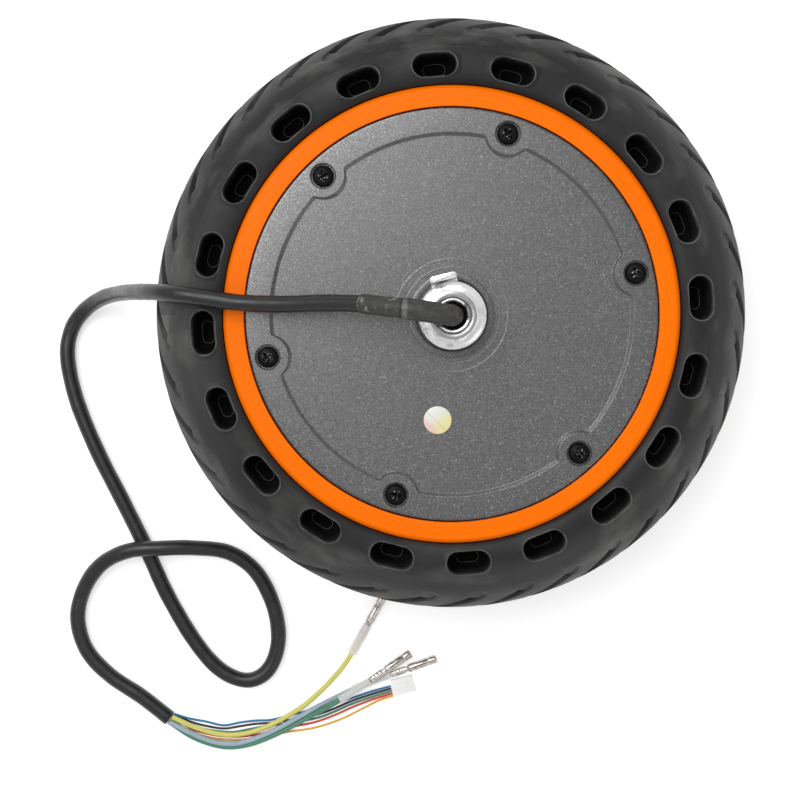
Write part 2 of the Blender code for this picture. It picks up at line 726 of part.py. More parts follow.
def make_phase_wires():
    colours = {"yellow": wire_yellow, "blue": wire_blue, "green": wire_green}
    for colour, route in PHASE_ROUTES.items():
        dense = smooth_curve(route)
        total = lengths_along(dense)[-1]
        cord(f"phase_wire_{colour}", route, PHASE_R, colours[colour])
        end = dense[-1]
        direction = np.array(TERMINAL_TIPS[colour]) - end
        direction /= np.linalg.norm(direction)
        make_terminal(f"terminal_{colour}", end + FACE_GAP * direction, direction, tinned)
        before, beyond, radius = CLEAR_SLEEVES[colour]
        points = at_lengths(dense, evenly(total - before, total, 3))
        if beyond:
            points = np.vstack([points, end + beyond * direction])
        sleeve(f"clear_sleeve_{colour}", points, radius, 0.3, clear_plastic)


def make_sensor_wires():
    colours = {
        "blue": wire_blue, "black": black_pvc, "green": wire_green, "red": wire_red, "yellow": wire_orange,
    }
    for colour, route in SENSOR_ROUTES.items():
        cord(f"sensor_wire_{colour}", route, SENSOR_R, colours[colour])
    length, width, height = PLUG_SIZE
    corners = [(-length / 2, -width / 2), (length / 2, -width / 2), (length / 2, width / 2), (-length / 2, width / 2)]
    plug = outline_solid("sensor_plug", [corners], -height / 2, height / 2, white_nylon, axle_pivot)
    plug.location = Vector(PLUG_CENTRE) * MM
    plug.rotation_euler = (0, 0, math.radians(PLUG_ANGLE))
    edge = plug.modifiers.new("Edges", "BEVEL")
    edge.width = 0.5 * MM
    edge.segments = 1


# ---------------------------------------------------------------- the whole object

clear_scene()
parts = new_collection("hub_motor_wheel")
cutters = new_collection("cutters")
cutters.hide_render = True

axle_pivot = empty("axle_axis")
wheel = empty("wheel_axis")
front_balls_pivot = empty("front_balls_axis")
rear_balls_pivot = empty("rear_balls_axis")

rubber = material("tyre_rubber", (0.025, 0.025, 0.027), 0.75)
dark_rubber = material("seal_rubber", (0.02, 0.02, 0.02), 0.7)
grey_paint = material("grey_paint", (0.11, 0.11, 0.115), 0.45, 0.5)
orange_paint = material("orange_paint", (0.9, 0.16, 0.02), 0.35)
black_steel = material("black_steel", (0.02, 0.02, 0.02), 0.4, 0.8)
pale_paper = material("pale_paper", (0.6, 0.6, 0.5), 0.6)
steel = material("steel", (0.55, 0.55, 0.56), 0.35, 1.0)
zinc = material("zinc", (0.75, 0.75, 0.76), 0.3, 1.0)
magnet_grey = material("magnet_nickel", (0.5, 0.5, 0.5), 0.3, 1.0)
lamination = material("lamination_steel", (0.3, 0.3, 0.31), 0.5, 1.0)
cast_aluminium = material("cast_aluminium", (0.6, 0.6, 0.61), 0.5, 1.0)
copper = material("enamelled_copper", (0.6, 0.25, 0.1), 0.35, 1.0)
green_board = material("green_board", (0.02, 0.2, 0.07), 0.5)
black_plastic = material("black_plastic", (0.02, 0.02, 0.02), 0.5)
black_pvc = material("black_pvc", (0.025, 0.025, 0.028), 0.5)
shrink_sleeve = material("shrink_sleeve", (0.06, 0.055, 0.05), 0.65)
wire_yellow = material("wire_yellow", (0.75, 0.7, 0.15), 0.5)
wire_blue = material("wire_blue", (0.25, 0.35, 0.55), 0.5)
wire_green = material("wire_green", (0.1, 0.35, 0.2), 0.5)
wire_red = material("wire_red", (0.75, 0.06, 0.05), 0.5)
wire_orange = material("wire_orange", (0.85, 0.5, 0.05), 0.5)
tinned = material("tinned_brass", (0.75, 0.72, 0.68), 0.3, 1.0)
clear_plastic = material("clear_plastic", (0.85, 0.85, 0.82), 0.3)
white_nylon = material("white_nylon", (0.85, 0.85, 0.83), 0.4)

make_tyre()
make_housing()
on_both_sides("trim_ring", make_trim_ring, wheel, wheel)
make_screws()
make_label()
make_rotor()
make_stator()
make_windings()
make_hall_sensors()
on_both_sides("bearing_outer_ring", bearing_ring(16.0, 14.1, steel), wheel, wheel)
on_both_sides("bearing_inner_ring", bearing_ring(9.7, 7.65, steel), axle_pivot, axle_pivot)
on_both_sides("bearing_balls", make_balls, front_balls_pivot, rear_balls_pivot)
on_both_sides("oil_seal", make_seal, wheel, wheel)
on_both_sides("spacer", make_spacer, axle_pivot, axle_pivot)
make_axle()
on_both_sides("tab_washer", make_tab_washer, axle_pivot, axle_pivot, TAB_ANGLE)
on_both_sides("flange_nut", make_nut, axle_pivot, axle_pivot)
make_cable()
make_phase_wires()
make_sensor_wires()
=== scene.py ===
"""Looks of the hub motor wheel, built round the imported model.

The origin is the wheel's centre, and +Z is the axle, towards the cable side. Sizes are
millimetres here, and MM turns them into metres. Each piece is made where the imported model
has it, and rides on that model's body.
"""

import math

import bmesh
import bpy
import numpy as np
from mathutils import Matrix, Vector


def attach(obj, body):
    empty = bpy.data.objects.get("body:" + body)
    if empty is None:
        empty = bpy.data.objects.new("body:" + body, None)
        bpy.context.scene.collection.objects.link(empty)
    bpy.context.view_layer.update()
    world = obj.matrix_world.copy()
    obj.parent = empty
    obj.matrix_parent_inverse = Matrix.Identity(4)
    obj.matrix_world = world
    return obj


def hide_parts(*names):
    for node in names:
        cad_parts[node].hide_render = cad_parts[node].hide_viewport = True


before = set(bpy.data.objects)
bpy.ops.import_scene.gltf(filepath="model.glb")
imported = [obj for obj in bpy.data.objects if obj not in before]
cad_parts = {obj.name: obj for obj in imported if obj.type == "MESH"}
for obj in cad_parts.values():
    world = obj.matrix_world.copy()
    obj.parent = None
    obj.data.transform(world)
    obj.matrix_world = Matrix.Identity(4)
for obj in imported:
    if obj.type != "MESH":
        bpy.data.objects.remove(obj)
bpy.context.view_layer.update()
MM = 0.001

# The rear nut's face stands on the table
NUT_FACE = 43.2
TABLE_Z = -NUT_FACE
FLOOR_HALF = 30.0

# Camera
CAMERA_PLACE = (-16.0, 3.4, 674.6)
CAMERA_TILT = (-0.0516, 0.0038)
CAMERA_LENS = 82.1

# Tyre
TYRE_PROFILE = [
    (82.1, 22.5), (83.4, 23.5), (86, 24), (89, 24), (92.6, 23.7), (95.5, 22.9), (98.5, 21.3),
    (101.3, 18.8), (103.6, 15.7), (105.8, 12), (107.3, 8), (107.9, 4), (108, 0),
]
SHOULDER_R = 99.1
COLUMNS = 360
POCKETS = 20
POCKET_ANGLE = 4.0
POCKET_CIRCLE_R = 89.0
POCKET_HALF_WIDTH = 4.1
POCKET_STRAIGHT = 3.75
POCKET_BAND = (83.6, 94.4)
GROOVES = 36
GROOVE_ANGLE = 5.5
GROOVE_COLUMNS = [0, 1.7, 3.1, 3.3, 3.6, 5, 6.4, 6.7, 6.9, 8.3]
GROOVE_DEPTHS = [0, 0, 0, 0.14, 1, 1, 1, 0.14, 0, 0]
GROOVE_CENTRE = 5
HEAD_SLANT = 2.2
GROOVE_DEPTH = 2.4
HEAD_LENGTH = 6.6
HEAD_DEPTH = 0.55
SWEEP_PER_MM = 0.85

# Housing
COVER_TOP = 21.5
RECESS_R = 64.6
RECESS_DEPTH = 0.8
HUB_CIRCLES = (17.2, 20.2)
SEAL_LIP_R = 13.0
SCREW_CIRCLE_R = 67.6
SCREW_ANGLE = 12.8
SCALLOP_R = 8.0
SCREW_TURNS = (14, 52, 71, 33, 8, 60)
LABEL_PLACE = (-5.0, -37.6, 0)

# Axle
AXLE_END = 41.7
AXLE_R = 6.2
AXLE_FLAT = 5.0
TAB_ANGLE = 104.0
HEX_ANGLE = 50.0
THREAD_PITCH = 1.25

# Cable and wires, as the design's routes have them


def laid(height, route):
    """The route, with this height where a point has none: there it lies on the table."""
    return [(*point, height)[:3] for point in route]


CABLE_R = 3.0
CABLE_ROUTE = laid(-40.1, [
    (0, 0, 32), (0, 0, 37), (-0.1, 0, 41.5), (-1.8, 0.3, 46.3), (-5.6, 0.9, 50.2), (-11, 1.7, 52),
    (-17.7, 2.6, 51.5), (-24.5, 3.3, 49.2), (-32, 4.1, 45.5), (-45, 4.4, 39.3), (-60, 4, 33.6),
    (-75, 4.5, 29.6), (-86, 6, 28), (-94.5, 7.2, 27), (-101.5, 8, 24), (-108.5, 8.4, 16.8),
    (-117, 8.5, 1.5), (-125.5, 8, -16.5), (-134, 6.2, -30), (-142, 1.5, -38), (-147.4, -6),
    (-149, -17), (-145.5, -34), (-137.5, -54), (-128, -73), (-119, -91.5), (-110.5, -110.5),
    (-99.5, -129.3), (-89.5, -140.5), (-79, -144.5), (-70.8, -140.2), (-66.8, -129), (-68.6, -115),
    (-75.5, -101.3, -39.9), (-86, -93.5, -38.6), (-99.5, -91.3, -35.8), (-113, -91.2, -33.7),
    (-125, -92.3, -34.3), (-136, -98, -37.5), (-143.3, -108, -39.8), (-146, -120), (-142.5, -132.5),
    (-133.5, -142.5), (-121, -151), (-109.9, -159.8),
])
# Each sleeve's start and end along the cable, its radius outside and its wall
EXIT_SLEEVE = (4.0, 32.4, 3.8, 0.5)
WORN_SLEEVE = (32.7, 48.2, 3.5, 0.3)

PHASE_R = 1.0
PHASE_ROUTES = {
    "yellow": [
        (-108.9, -159, -39.2), (-101.3, -162.8, -40.1), (-93.5, -165.6, -40.9), (-85.9, -166.6, -41.1),
        (-78.3, -165.6, -41.1), (-70.7, -162.9, -41.1), (-63.3, -159, -41.1), (-57, -154.9, -41.3),
        (-51.5, -150.3, -41.8), (-45.9, -144.7, -42), (-41.2, -139.1, -41.5), (-37.6, -133.4, -41.1),
        (-34.9, -128.6, -41.1),
    ],
    "blue": [
        (-110.2, -160.7, -39), (-101.1, -165.7, -39.9), (-92.8, -169, -40.2), (-85.2, -169.9, -40.2),
        (-77.6, -168.3, -40.2), (-68.4, -164.4, -40.2), (-60.8, -160.4, -40.5), (-53.2, -156.2, -41),
        (-45.6, -152.3, -41.4), (-38, -148.6, -41.5), (-30.5, -145.4, -41.5), (-22.6, -142.5, -41.5),
    ],
    "green": [
        (-110.6, -161.2, -41.2), (-102, -167.2, -41.9), (-93.7, -170.6, -42.1), (-86.3, -171.7, -41.9),
        (-78.3, -170.4, -41.3), (-70.3, -167.4, -41.1), (-62.3, -163.5, -41.1), (-55, -159.4, -41),
        (-49.3, -156.2, -39.8), (-43.8, -152.8, -38.3), (-37.5, -148.7, -37.8), (-30.6, -144.3, -38.2),
    ],
}
TERMINAL_TIPS = {
    "yellow": (-26, -112.6, -41.1),
    "blue": (-4.6, -136.1, -41.3),
    "green": (-15, -134, -41.3),
}
# How far each clear sleeve reaches back from the wire's end and beyond it, and its radius
CLEAR_SLEEVES = {"yellow": (6.0, 7.0, 1.95), "blue": (16.0, 0.0, 1.6), "green": (14.0, 0.0, 1.6)}
TERMINAL_LENGTH = 19.0
FACE_GAP = 0.3

SENSOR_R = 0.45
SENSOR_ROUTES = {
    "blue": laid(-42.7, [
        (-108.2, -158.2, -40.9), (-102.6, -160.2, -42.1), (-95.8, -161.6), (-88.9, -163.1),
        (-82.1, -161.9), (-76, -161.2), (-70, -160.9), (-62, -158.9), (-54, -156.9), (-46, -154.6),
        (-38.1, -152.2), (-30.2, -149.5, -42.6), (-22.4, -147, -41.2),
    ]),
    "black": laid(-42.7, [
        (-108.6, -158.6, -41.9), (-101.6, -161.8, -42.6), (-94.5, -163.6), (-88.5, -164.4),
        (-82, -163.4), (-76, -162.5), (-70, -162.1), (-61, -160.7), (-52, -158.9), (-45, -156.4),
        (-38.1, -153.4), (-30.1, -150.6, -42.6), (-22.2, -147.95, -41.2),
    ]),
    "green": laid(-42.7, [
        (-108.9, -159, -40.8), (-101.8, -162.9, -42.3), (-94.5, -165), (-86, -165.8), (-79, -164.7),
        (-72, -163.4), (-62, -162.1), (-51.5, -160.1), (-44.6, -157.5), (-38.1, -154.6),
        (-30, -151.7, -42.6), (-21.9, -148.92, -41.2),
    ]),
    "red": laid(-42.7, [
        (-109.1, -159.3, -42.3), (-102.3, -164.2, -42.6), (-97, -166.1), (-90, -167.4),
        (-82, -167.6), (-74, -166.5), (-64, -164.2), (-52.5, -161.8), (-44, -158.7), (-38.1, -156),
        (-30, -152.8, -42.6), (-21.7, -149.9, -41.2),
    ]),
    "yellow": laid(-42.7, [
        (-109.7, -160.1, -42.3), (-102.8, -165.4), (-97, -167.4), (-90, -168.7), (-82, -168.9),
        (-74, -168), (-64, -165.9), (-52.5, -164), (-42, -160.5), (-32.6, -155.8),
        (-26.5, -152.7, -42.2), (-21.4, -150.86, -41.2),
    ]),
}
PLUG_SIZE = (8.8, 6.4, 3.8)
PLUG_CENTRE = (-17.4, -146.6, -41.2)
PLUG_ANGLE = 14.8

# Each wire material's colour, and that of its scuffs
WIRE_TINTS = {
    "wire_yellow": ((0.74, 0.69, 0.17), (0.85, 0.82, 0.5)),
    "wire_blue": ((0.38, 0.47, 0.56), (0.6, 0.65, 0.7)),
    "wire_green": ((0.08, 0.27, 0.17), (0.3, 0.5, 0.4)),
    "signal_blue": ((0.02, 0.19, 0.43), 0.2),
    "signal_red": ((0.72, 0.05, 0.04), (0.8, 0.3, 0.3)),
    "signal_orange": ((0.82, 0.45, 0.05), (0.8, 0.7, 0.3)),
}


# Camera, lights and floor


def added(name, data):
    """A new object in the scene, with this mesh, light or camera."""
    obj = bpy.data.objects.new(name, data)
    bpy.context.scene.collection.objects.link(obj)
    return obj


def make_camera():
    data = bpy.data.cameras.new("camera")
    data.lens = CAMERA_LENS
    data.sensor_width = 36.0
    data.clip_start = 0.01
    camera = added("camera", data)
    tilt = Matrix.Rotation(CAMERA_TILT[0], 4, "X") @ Matrix.Rotation(CAMERA_TILT[1], 4, "Y")
    camera.matrix_world = Matrix.Translation(Vector(CAMERA_PLACE) * MM) @ tilt
    bpy.context.scene.camera = camera


def area_light(name, place, size, power):
    """A round lamp that faces the wheel's centre, placed in metres."""
    data = bpy.data.lights.new(name, "AREA")
    data.shape = "DISK"
    data.size = size
    data.energy = power
    light = added(name, data)
    light.location = place
    light.rotation_euler = (-Vector(place)).to_track_quat("-Z", "Y").to_euler()


def make_lights():
    area_light("key", (-0.42, 0.42, 1.15), 1.0, 9.3)
    area_light("edge", (0.7, -0.6, 0.9), 0.7, 0.9)
    world = bpy.data.worlds.new("studio")
    world.use_nodes = True
    background = world.node_tree.nodes["Background"]
    background.inputs["Color"].default_value = (1, 1, 1, 1)
    background.inputs["Strength"].default_value = 0.58
    bpy.context.scene.world = world
    bpy.context.scene.view_settings.view_transform = "Standard"


def make_floor():
    mesh = bpy.data.meshes.new("floor")
    corners = [(x, y, TABLE_Z * MM) for x, y in ((-1, -1), (1, -1), (1, 1), (-1, 1))]
    mesh.from_pydata([(x * FLOOR_HALF, y * FLOOR_HALF, z) for x, y, z in corners], [], [(0, 1, 2, 3)])
    mat = Finish("floor_paper", 0.6, Emission_Strength=0.45, Emission_Color=(1, 1, 1, 1))
    mat.colour(mat.noise(40, 3), 0.86, 0.9)
    mesh.materials.append(mat.mat)
    added("floor", mesh)


# Materials


class Finish:
    """A material under construction: one Principled shader and the nodes that feed it."""

    def __init__(self, name, roughness, metallic=0.0, **constants):
        self.mat = bpy.data.materials.new(name)
        self.mat.use_nodes = True
        self.tree = self.mat.node_tree
        self.shader = self.tree.nodes["Principled BSDF"]
        for socket, value in {"Roughness": roughness, "Metallic": metallic, **constants}.items():
            self.shader.inputs[socket.replace("_", " ")].default_value = value
        self.place = self.node("TexCoord").outputs["Object"]

    def link(self, value, socket):
        if isinstance(value, bpy.types.NodeSocket):
            self.tree.links.new(value, socket)
        elif isinstance(value, tuple):
            socket.default_value = (*value, 1.0)
        else:
            socket.default_value = value

    def node(self, kind, **values):
        """A new node, with the sockets named set to a value or linked."""
        node = self.tree.nodes.new("ShaderNode" + kind)
        for socket, value in values.items():
            self.link(value, node.inputs[socket.replace("_", " ")])
        return node

    def noise(self, scale, detail, stretch=None, place=None):
        """Cloudy noise of so many features a metre, stretched along an axis if asked."""
        place = place or self.place
        if stretch:
            mapping = self.node("Mapping", Vector=place)
            mapping.inputs["Scale"].default_value = stretch
            place = mapping.outputs["Vector"]
        return self.node("TexNoise", Vector=place, Scale=scale, Detail=detail).outputs["Fac"]

    def specks(self, scale):
        """A random value for each small cell, so many cells a metre."""
        cells = self.node("TexVoronoi", Vector=self.place, Scale=scale)
        return self.node("SeparateColor", Color=cells.outputs["Color"]).outputs["Red"]

    def ramp(self, value, low, high, start=0.0, end=1.0):
        """The value spread from low..high to start..end, and held there beyond."""
        node = self.node("MapRange", Value=value, From_Min=low, From_Max=high, To_Min=start, To_Max=end)
        return node.outputs["Result"]

    def mix(self, factor, low, high):
        """Two colours mixed by the factor. A plain number stands for that grey."""
        node = self.node("Mix")
        node.data_type = "RGBA"
        self.link(factor, node.inputs["Factor"])
        for socket, value in (("A", low), ("B", high)):
            self.link((value,) * 3 if isinstance(value, float) else value, node.inputs[socket])
        return node.outputs["Result"]

    def math(self, operation, a, b=0.0):
        node = self.node("Math")
        node.operation = operation
        self.link(a, node.inputs[0])
        self.link(b, node.inputs[1])
        return node.outputs["Value"]

    def times(self, a, b):
        return self.math("MULTIPLY", a, b)

    def length(self, a, b):
        return self.math("SQRT", self.math("ADD", self.times(a, a), self.times(b, b)))

    def band(self, value, low, high, soft):
        """One where the value is between low and high, and falling to zero outside."""
        return self.times(self.ramp(value, low - soft, low), self.ramp(value, high + soft, high))

    def axes(self):
        return tuple(self.node("SeparateXYZ", Vector=self.place).outputs)

    def wheel_place(self):
        """Millimetres from the wheel's axis, and from its centre plane."""
        x, y, z = (self.times(axis, 1 / MM) for axis in self.axes())
        return self.length(x, y), self.math("ABSOLUTE", z)

    def angle(self):
        x, y, _ = self.axes()
        return self.math("ARCTAN2", y, x)

    def polar(self):
        """Place as metres out from the axis, round it at the tyre's size, and along it."""
        radius, height = self.wheel_place()
        around = self.times(self.angle(), 100 * MM)
        join = self.node("CombineXYZ", X=self.times(radius, MM), Y=around, Z=self.times(height, MM))
        return join.outputs["Vector"]

    def from_slots(self, count, angle, circle_r, straight=0.0):
        """Millimetres from the nearest of so many slots, each a straight line round the wheel."""
        half = math.pi / count
        start = self.math("SUBTRACT", self.angle(), math.radians(angle) - half)
        folded = self.math("SUBTRACT", self.math("FLOORED_MODULO", start, 2 * half), half)
        aside = self.math("ABSOLUTE", self.times(folded, circle_r))
        beyond = self.math("MAXIMUM", self.math("SUBTRACT", aside, straight), 0.0)
        return self.length(self.math("SUBTRACT", self.wheel_place()[0], circle_r), beyond)

    def across(self, angle, centre):
        """Millimetres from a centre, measured along a direction at this angle from +X."""
        x, y, _ = self.axes()
        cos, sin = math.cos(math.radians(angle)), math.sin(math.radians(angle))
        total = self.math("ADD", self.times(x, cos / MM), self.times(y, sin / MM))
        return self.math("SUBTRACT", total, centre[0] * cos + centre[1] * sin)

    def colour(self, factor, low, high):
        self.link(self.mix(factor, low, high), self.shader.inputs["Base Color"])

    def roughness(self, value):
        self.link(value, self.shader.inputs["Roughness"])

    def cloudy_gloss(self, scale, low, high):
        """Roughness that wanders from low to high."""
        self.roughness(self.ramp(self.noise(scale, 3), 0.3, 0.7, low, high))

    def bumped(self, height, depth_mm, strength):
        """The material with its surface raised by this height: the last step of each."""
        node = self.node("Bump", Height=height, Strength=strength, Distance=depth_mm * MM)
        self.link(node.outputs["Normal"], self.shader.inputs["Normal"])
        return self.mat


def tyre_rubber():
    """Black rubber with dusty smears that follow the tyre round, a paler mottled band round each pocket's
    mouth, painted shade deep in the pockets, and a painted highlight on each pocket's inner oval.
    """
    mat = Finish("tyre_rubber", 0.55, Specular_IOR_Level=0.3)
    polar = mat.polar()
    cloud = mat.ramp(mat.noise(30, 4, (1, 0.35, 1), polar), 0.38, 0.66)
    smudge = mat.ramp(mat.noise(95, 5, (1, 0.4, 1), polar), 0.5, 0.68)
    base = mat.mix(cloud, (0.017, 0.017, 0.0175), (0.043, 0.043, 0.0435))
    base = mat.mix(mat.times(smudge, 0.65), base, (0.105, 0.104, 0.098))
    radius, height = mat.wheel_place()
    inner = mat.ramp(mat.math("ADD", radius, mat.times(cloud, 3.0)), 97.5, 91.0, 0.0, 0.72)
    base = mat.mix(inner, base, (0.006, 0.006, 0.0062))
    slot = mat.from_slots(POCKETS, POCKET_ANGLE, POCKET_CIRCLE_R, POCKET_STRAIGHT)
    # A paler mottled band round each pocket's mouth
    rim = mat.band(slot, POCKET_HALF_WIDTH + 0.05, POCKET_HALF_WIDTH + 0.35, 0.3)
    rim_mottle = mat.ramp(mat.noise(240, 3), 0.35, 0.6, 0.25, 0.8)
    base = mat.mix(mat.times(rim, rim_mottle), base, (0.13, 0.13, 0.125))
    # Painted shade: the pockets' walls and floors go near black below the sidewall's face
    deep = mat.times(mat.ramp(height, 21.5, 18.5), mat.ramp(radius, 97.5, 96.5))
    # Painted highlight: a paler ring on the rim of each pocket's inner oval
    lip = mat.times(mat.band(height, 5.6, 6.1, 0.1), mat.ramp(slot, 3.2, 3.0))
    inside = mat.mix(lip, 0.009, (0.16, 0.16, 0.157))
    mat.colour(deep, base, inside)
    gloss = mat.ramp(mat.noise(60, 4), 0.3, 0.7, 0.42, 0.62)
    mat.roughness(mat.math("MAXIMUM", gloss, deep))
    return mat.bumped(mat.noise(1100, 5), 0.06, 0.4)


def orange_paint():
    mat = Finish("orange_paint", 0.34, Specular_IOR_Level=0.08)
    mat.colour(mat.noise(22, 3), (0.97, 0.158, 0.0), (1.0, 0.185, 0.0))
    mat.cloudy_gloss(300, 0.28, 0.4)
    return mat.bumped(mat.noise(900, 2), 0.02, 0.25)


def sparkle_paint():
    """Dark grey paint with metal flakes, with painted shade on the recess's step, round the nut and in a
    ring at the seal's lip, and painted highlights on the two hub circles.
    """
    mat = Finish("sparkle_paint", 0.34, 0.05, Specular_IOR_Level=1.0, IOR=1.75)
    fine = mat.ramp(mat.specks(3600), 0.6, 1.0)
    flake = mat.ramp(mat.specks(3000), 0.93, 1.0)
    cloud = mat.noise(35, 4)
    base = mat.mix(cloud, (0.009, 0.009, 0.0095), (0.021, 0.021, 0.0215))
    base = mat.mix(mat.times(fine, 0.18), base, (0.2, 0.2, 0.205))
    base = mat.mix(mat.times(flake, 0.4), base, (0.6, 0.6, 0.62))
    radius, height = mat.wheel_place()
    # Painted highlights: a thin pale line on each of the two beads of the hub circles
    for circle in HUB_CIRCLES:
        line = mat.band(radius, circle - 0.1, circle + 0.1, 0.12)
        base = mat.mix(mat.times(line, 0.3), base, 0.4)
    # Painted shade round the nut: a little darker inside the inner hub circle
    base = mat.mix(mat.ramp(radius, 17.1, 16.9, 0.0, 0.25), base, 0.02)
    # Painted shade along the recess's step
    step = mat.band(height, COVER_TOP - RECESS_DEPTH + 0.07, COVER_TOP - 0.07, 0.05)
    step = mat.times(step, mat.ramp(radius, 66.8, 66.4))
    base = mat.mix(mat.times(step, 0.45), base, 0.012)
    # Painted shade: a near-black ring at the seal's lip, just round the nut's flange
    mat.colour(mat.ramp(radius, SEAL_LIP_R + 0.05, SEAL_LIP_R - 0.1), base, 0.006)
    mat.roughness(mat.ramp(mat.specks(2700), 0.0, 1.0, 0.2, 0.44))
    return mat.bumped(mat.specks(2700), 0.06, 0.8)


def metal(name, colour, roughness, dull, stretch=None, scale=500):
    """Bare or plated metal: fine marks in its roughness and colour."""
    mat = Finish(name, roughness, 1.0)
    marks = mat.noise(scale, 5, stretch)
    darker = tuple(c * dull for c in colour)
    mat.colour(mat.ramp(marks, 0.35, 0.65), darker, colour)
    mat.roughness(mat.ramp(marks, 0.3, 0.7, roughness * 0.7, roughness * 1.4))
    return mat.bumped(marks, 0.03, 0.3)


def bright_zinc():
    """Bright plating with darker patches, darker still and finely mottled on the nut's face round the
    thread.
    """
    mat = Finish("bright_zinc", 0.26, 0.68)
    marks = mat.noise(260, 5)
    patches = mat.ramp(mat.noise(110, 1), 0.5, 0.6)
    streaks = mat.times(patches, mat.ramp(mat.noise(900, 4), 0.45, 0.6))
    radius, height = mat.wheel_place()
    face = mat.times(mat.band(radius, 6.9, 8.2, 0.15), mat.ramp(height, NUT_FACE - 0.4, NUT_FACE - 0.1))
    dull = mat.mix(mat.noise(2600, 3), 0.2, 0.6)
    plate = mat.mix(mat.ramp(marks, 0.35, 0.65), 0.9, 1.0)
    plate = mat.mix(mat.times(streaks, 0.6), plate, 0.3)
    mat.colour(face, plate, dull)
    mat.roughness(mat.ramp(marks, 0.3, 0.7, 0.12, 0.3))
    return mat.bumped(marks, 0.05, 0.35)


def black_steel():
    """Blackened steel, with painted glints as bright specks in the drive recess."""
    mat = Finish("black_steel", 0.38, 0.2, Specular_IOR_Level=0.12)
    # Painted glints: bright specks round each screw's drive recess
    centre = mat.ramp(mat.from_slots(6, SCREW_ANGLE, SCREW_CIRCLE_R), 2.0, 1.7)
    painted_glints = mat.times(mat.ramp(mat.specks(2600), 0.86, 0.95), centre)
    mat.colour(mat.times(painted_glints, 0.6), 0.005, 0.7)
    mat.cloudy_gloss(500, 0.3, 0.5)
    return mat.bumped(mat.noise(1800, 2), 0.02, 0.3)


def soft_plastic(name, colour, roughness, mark=0.2, amount=0.15):
    """A moulded or extruded plastic with faint cloudiness, scuffs and a fine skin."""
    mat = Finish(name, roughness)
    darker = tuple(c * 0.82 for c in colour)
    base = mat.mix(mat.noise(120, 3), darker, colour)
    scuff = mat.ramp(mat.noise(420, 5), 0.56, 0.74)
    mat.colour(mat.times(scuff, amount), base, mark)
    mat.cloudy_gloss(260, roughness * 0.8, roughness * 1.25)
    return mat.bumped(mat.noise(1500, 3), 0.03, 0.25)


def shrink_sleeve():
    """Grey-black heat shrink with creases round it and a painted highlight at its end."""
    mat = Finish("shrink_sleeve", 0.5)
    along = mat.across(0, (0, 0))
    rub = mat.ramp(mat.noise(420, 5), 0.5, 0.72)
    base = mat.mix(mat.times(rub, 0.4), (0.034, 0.034, 0.032), (0.15, 0.15, 0.14))
    # Painted highlight: a paler patchy band at the sleeve's end lip
    patches = mat.ramp(mat.noise(700, 3), 0.3, 0.6, 0.1, 0.5)
    end = mat.times(mat.band(along, -17.4, -16.2, 0.5), patches)
    mat.colour(end, base, (0.22, 0.22, 0.205))
    mat.cloudy_gloss(260, 0.38, 0.62)
    return mat.bumped(mat.noise(330, 4, (2.4, 0.7, 1)), 0.3, 0.6)


def worn_sleeve():
    """Black sleeve with pale rubbed marks, most of them at its far end."""
    mat = Finish("worn_sleeve", 0.5)
    end = mat.ramp(mat.across(0, (0, 0)), -28.5, -31.5)
    rub = mat.math("ADD", mat.noise(420, 5), mat.times(end, 0.1))
    patch = mat.times(mat.ramp(rub, 0.6, 0.67), 0.5)
    mat.colour(patch, (0.032, 0.032, 0.03), (0.34, 0.32, 0.27))
    mat.cloudy_gloss(260, 0.4, 0.65)
    return mat.bumped(mat.noise(900, 3), 0.05, 0.35)


def clear_plastic():
    mat = Finish("clear_plastic", 0.22, Alpha=0.45, IOR=1.45)
    mat.colour(mat.noise(300, 2), (0.93, 0.91, 0.89), (0.98, 0.97, 0.96))
    mat.cloudy_gloss(500, 0.15, 0.32)
    return mat.bumped(mat.noise(700, 2), 0.03, 0.25)


def white_nylon():
    mat = Finish("white_nylon", 0.4, Subsurface_Weight=0.3)
    mat.shader.inputs["Subsurface Radius"].default_value = (0.002, 0.002, 0.002)
    mat.colour(mat.noise(200, 3), (0.92, 0.92, 0.9), (0.97, 0.97, 0.96))
    return mat.bumped(mat.noise(900, 2), 0.02, 0.25)


def pale_foil():
    """A blank sticker of pale foil: soft tints from side to side, and one thin ruled line."""
    mat = Finish("pale_foil", 0.35, 0.05)
    down = mat.across(-45, LABEL_PLACE)
    aside = mat.across(45, LABEL_PLACE)
    wander = mat.ramp(mat.noise(220, 2), 0.3, 0.7, -1.2, 1.2)
    warm = mat.ramp(mat.math("ADD", down, wander), -1.5, 3.5)
    colour = mat.mix(warm, (0.74, 0.76, 0.69), (0.82, 0.74, 0.36))
    pink = mat.ramp(mat.math("ADD", aside, wander), -1.2, -4.2)
    colour = mat.mix(mat.times(pink, 0.6), colour, (0.85, 0.45, 0.4))
    line = mat.ramp(mat.math("ABSOLUTE", mat.math("ADD", aside, 0.6)), 0.18, 0.1)
    mat.colour(mat.times(line, 0.6), colour, (0.5, 0.4, 0.25))
    return mat.bumped(mat.noise(600, 2), 0.02, 0.3)


# Mesh helpers


def piece(name, mesh, mat, body, node):
    """Adds a visible piece that rides on a body and stands for a node of the design."""
    mesh.materials.clear()
    mesh.materials.append(mat)
    obj = added(name, mesh)
    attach(obj, body)
    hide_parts(node)
    return obj


def both_sides(name, mesh, mat, body, node, line_angle=0.0):
    """A front piece, and its copy turned half round about a line through the centre."""
    rear = mesh.copy()
    rear.name = f"{name}_rear"
    rear.transform(Matrix.Rotation(math.pi, 4, turn_z(line_angle) @ Vector((1, 0, 0))))
    piece(f"{name}_front", mesh, mat, body, f"front_{node}")
    piece(f"{name}_rear", rear, mat, body, f"rear_{node}")


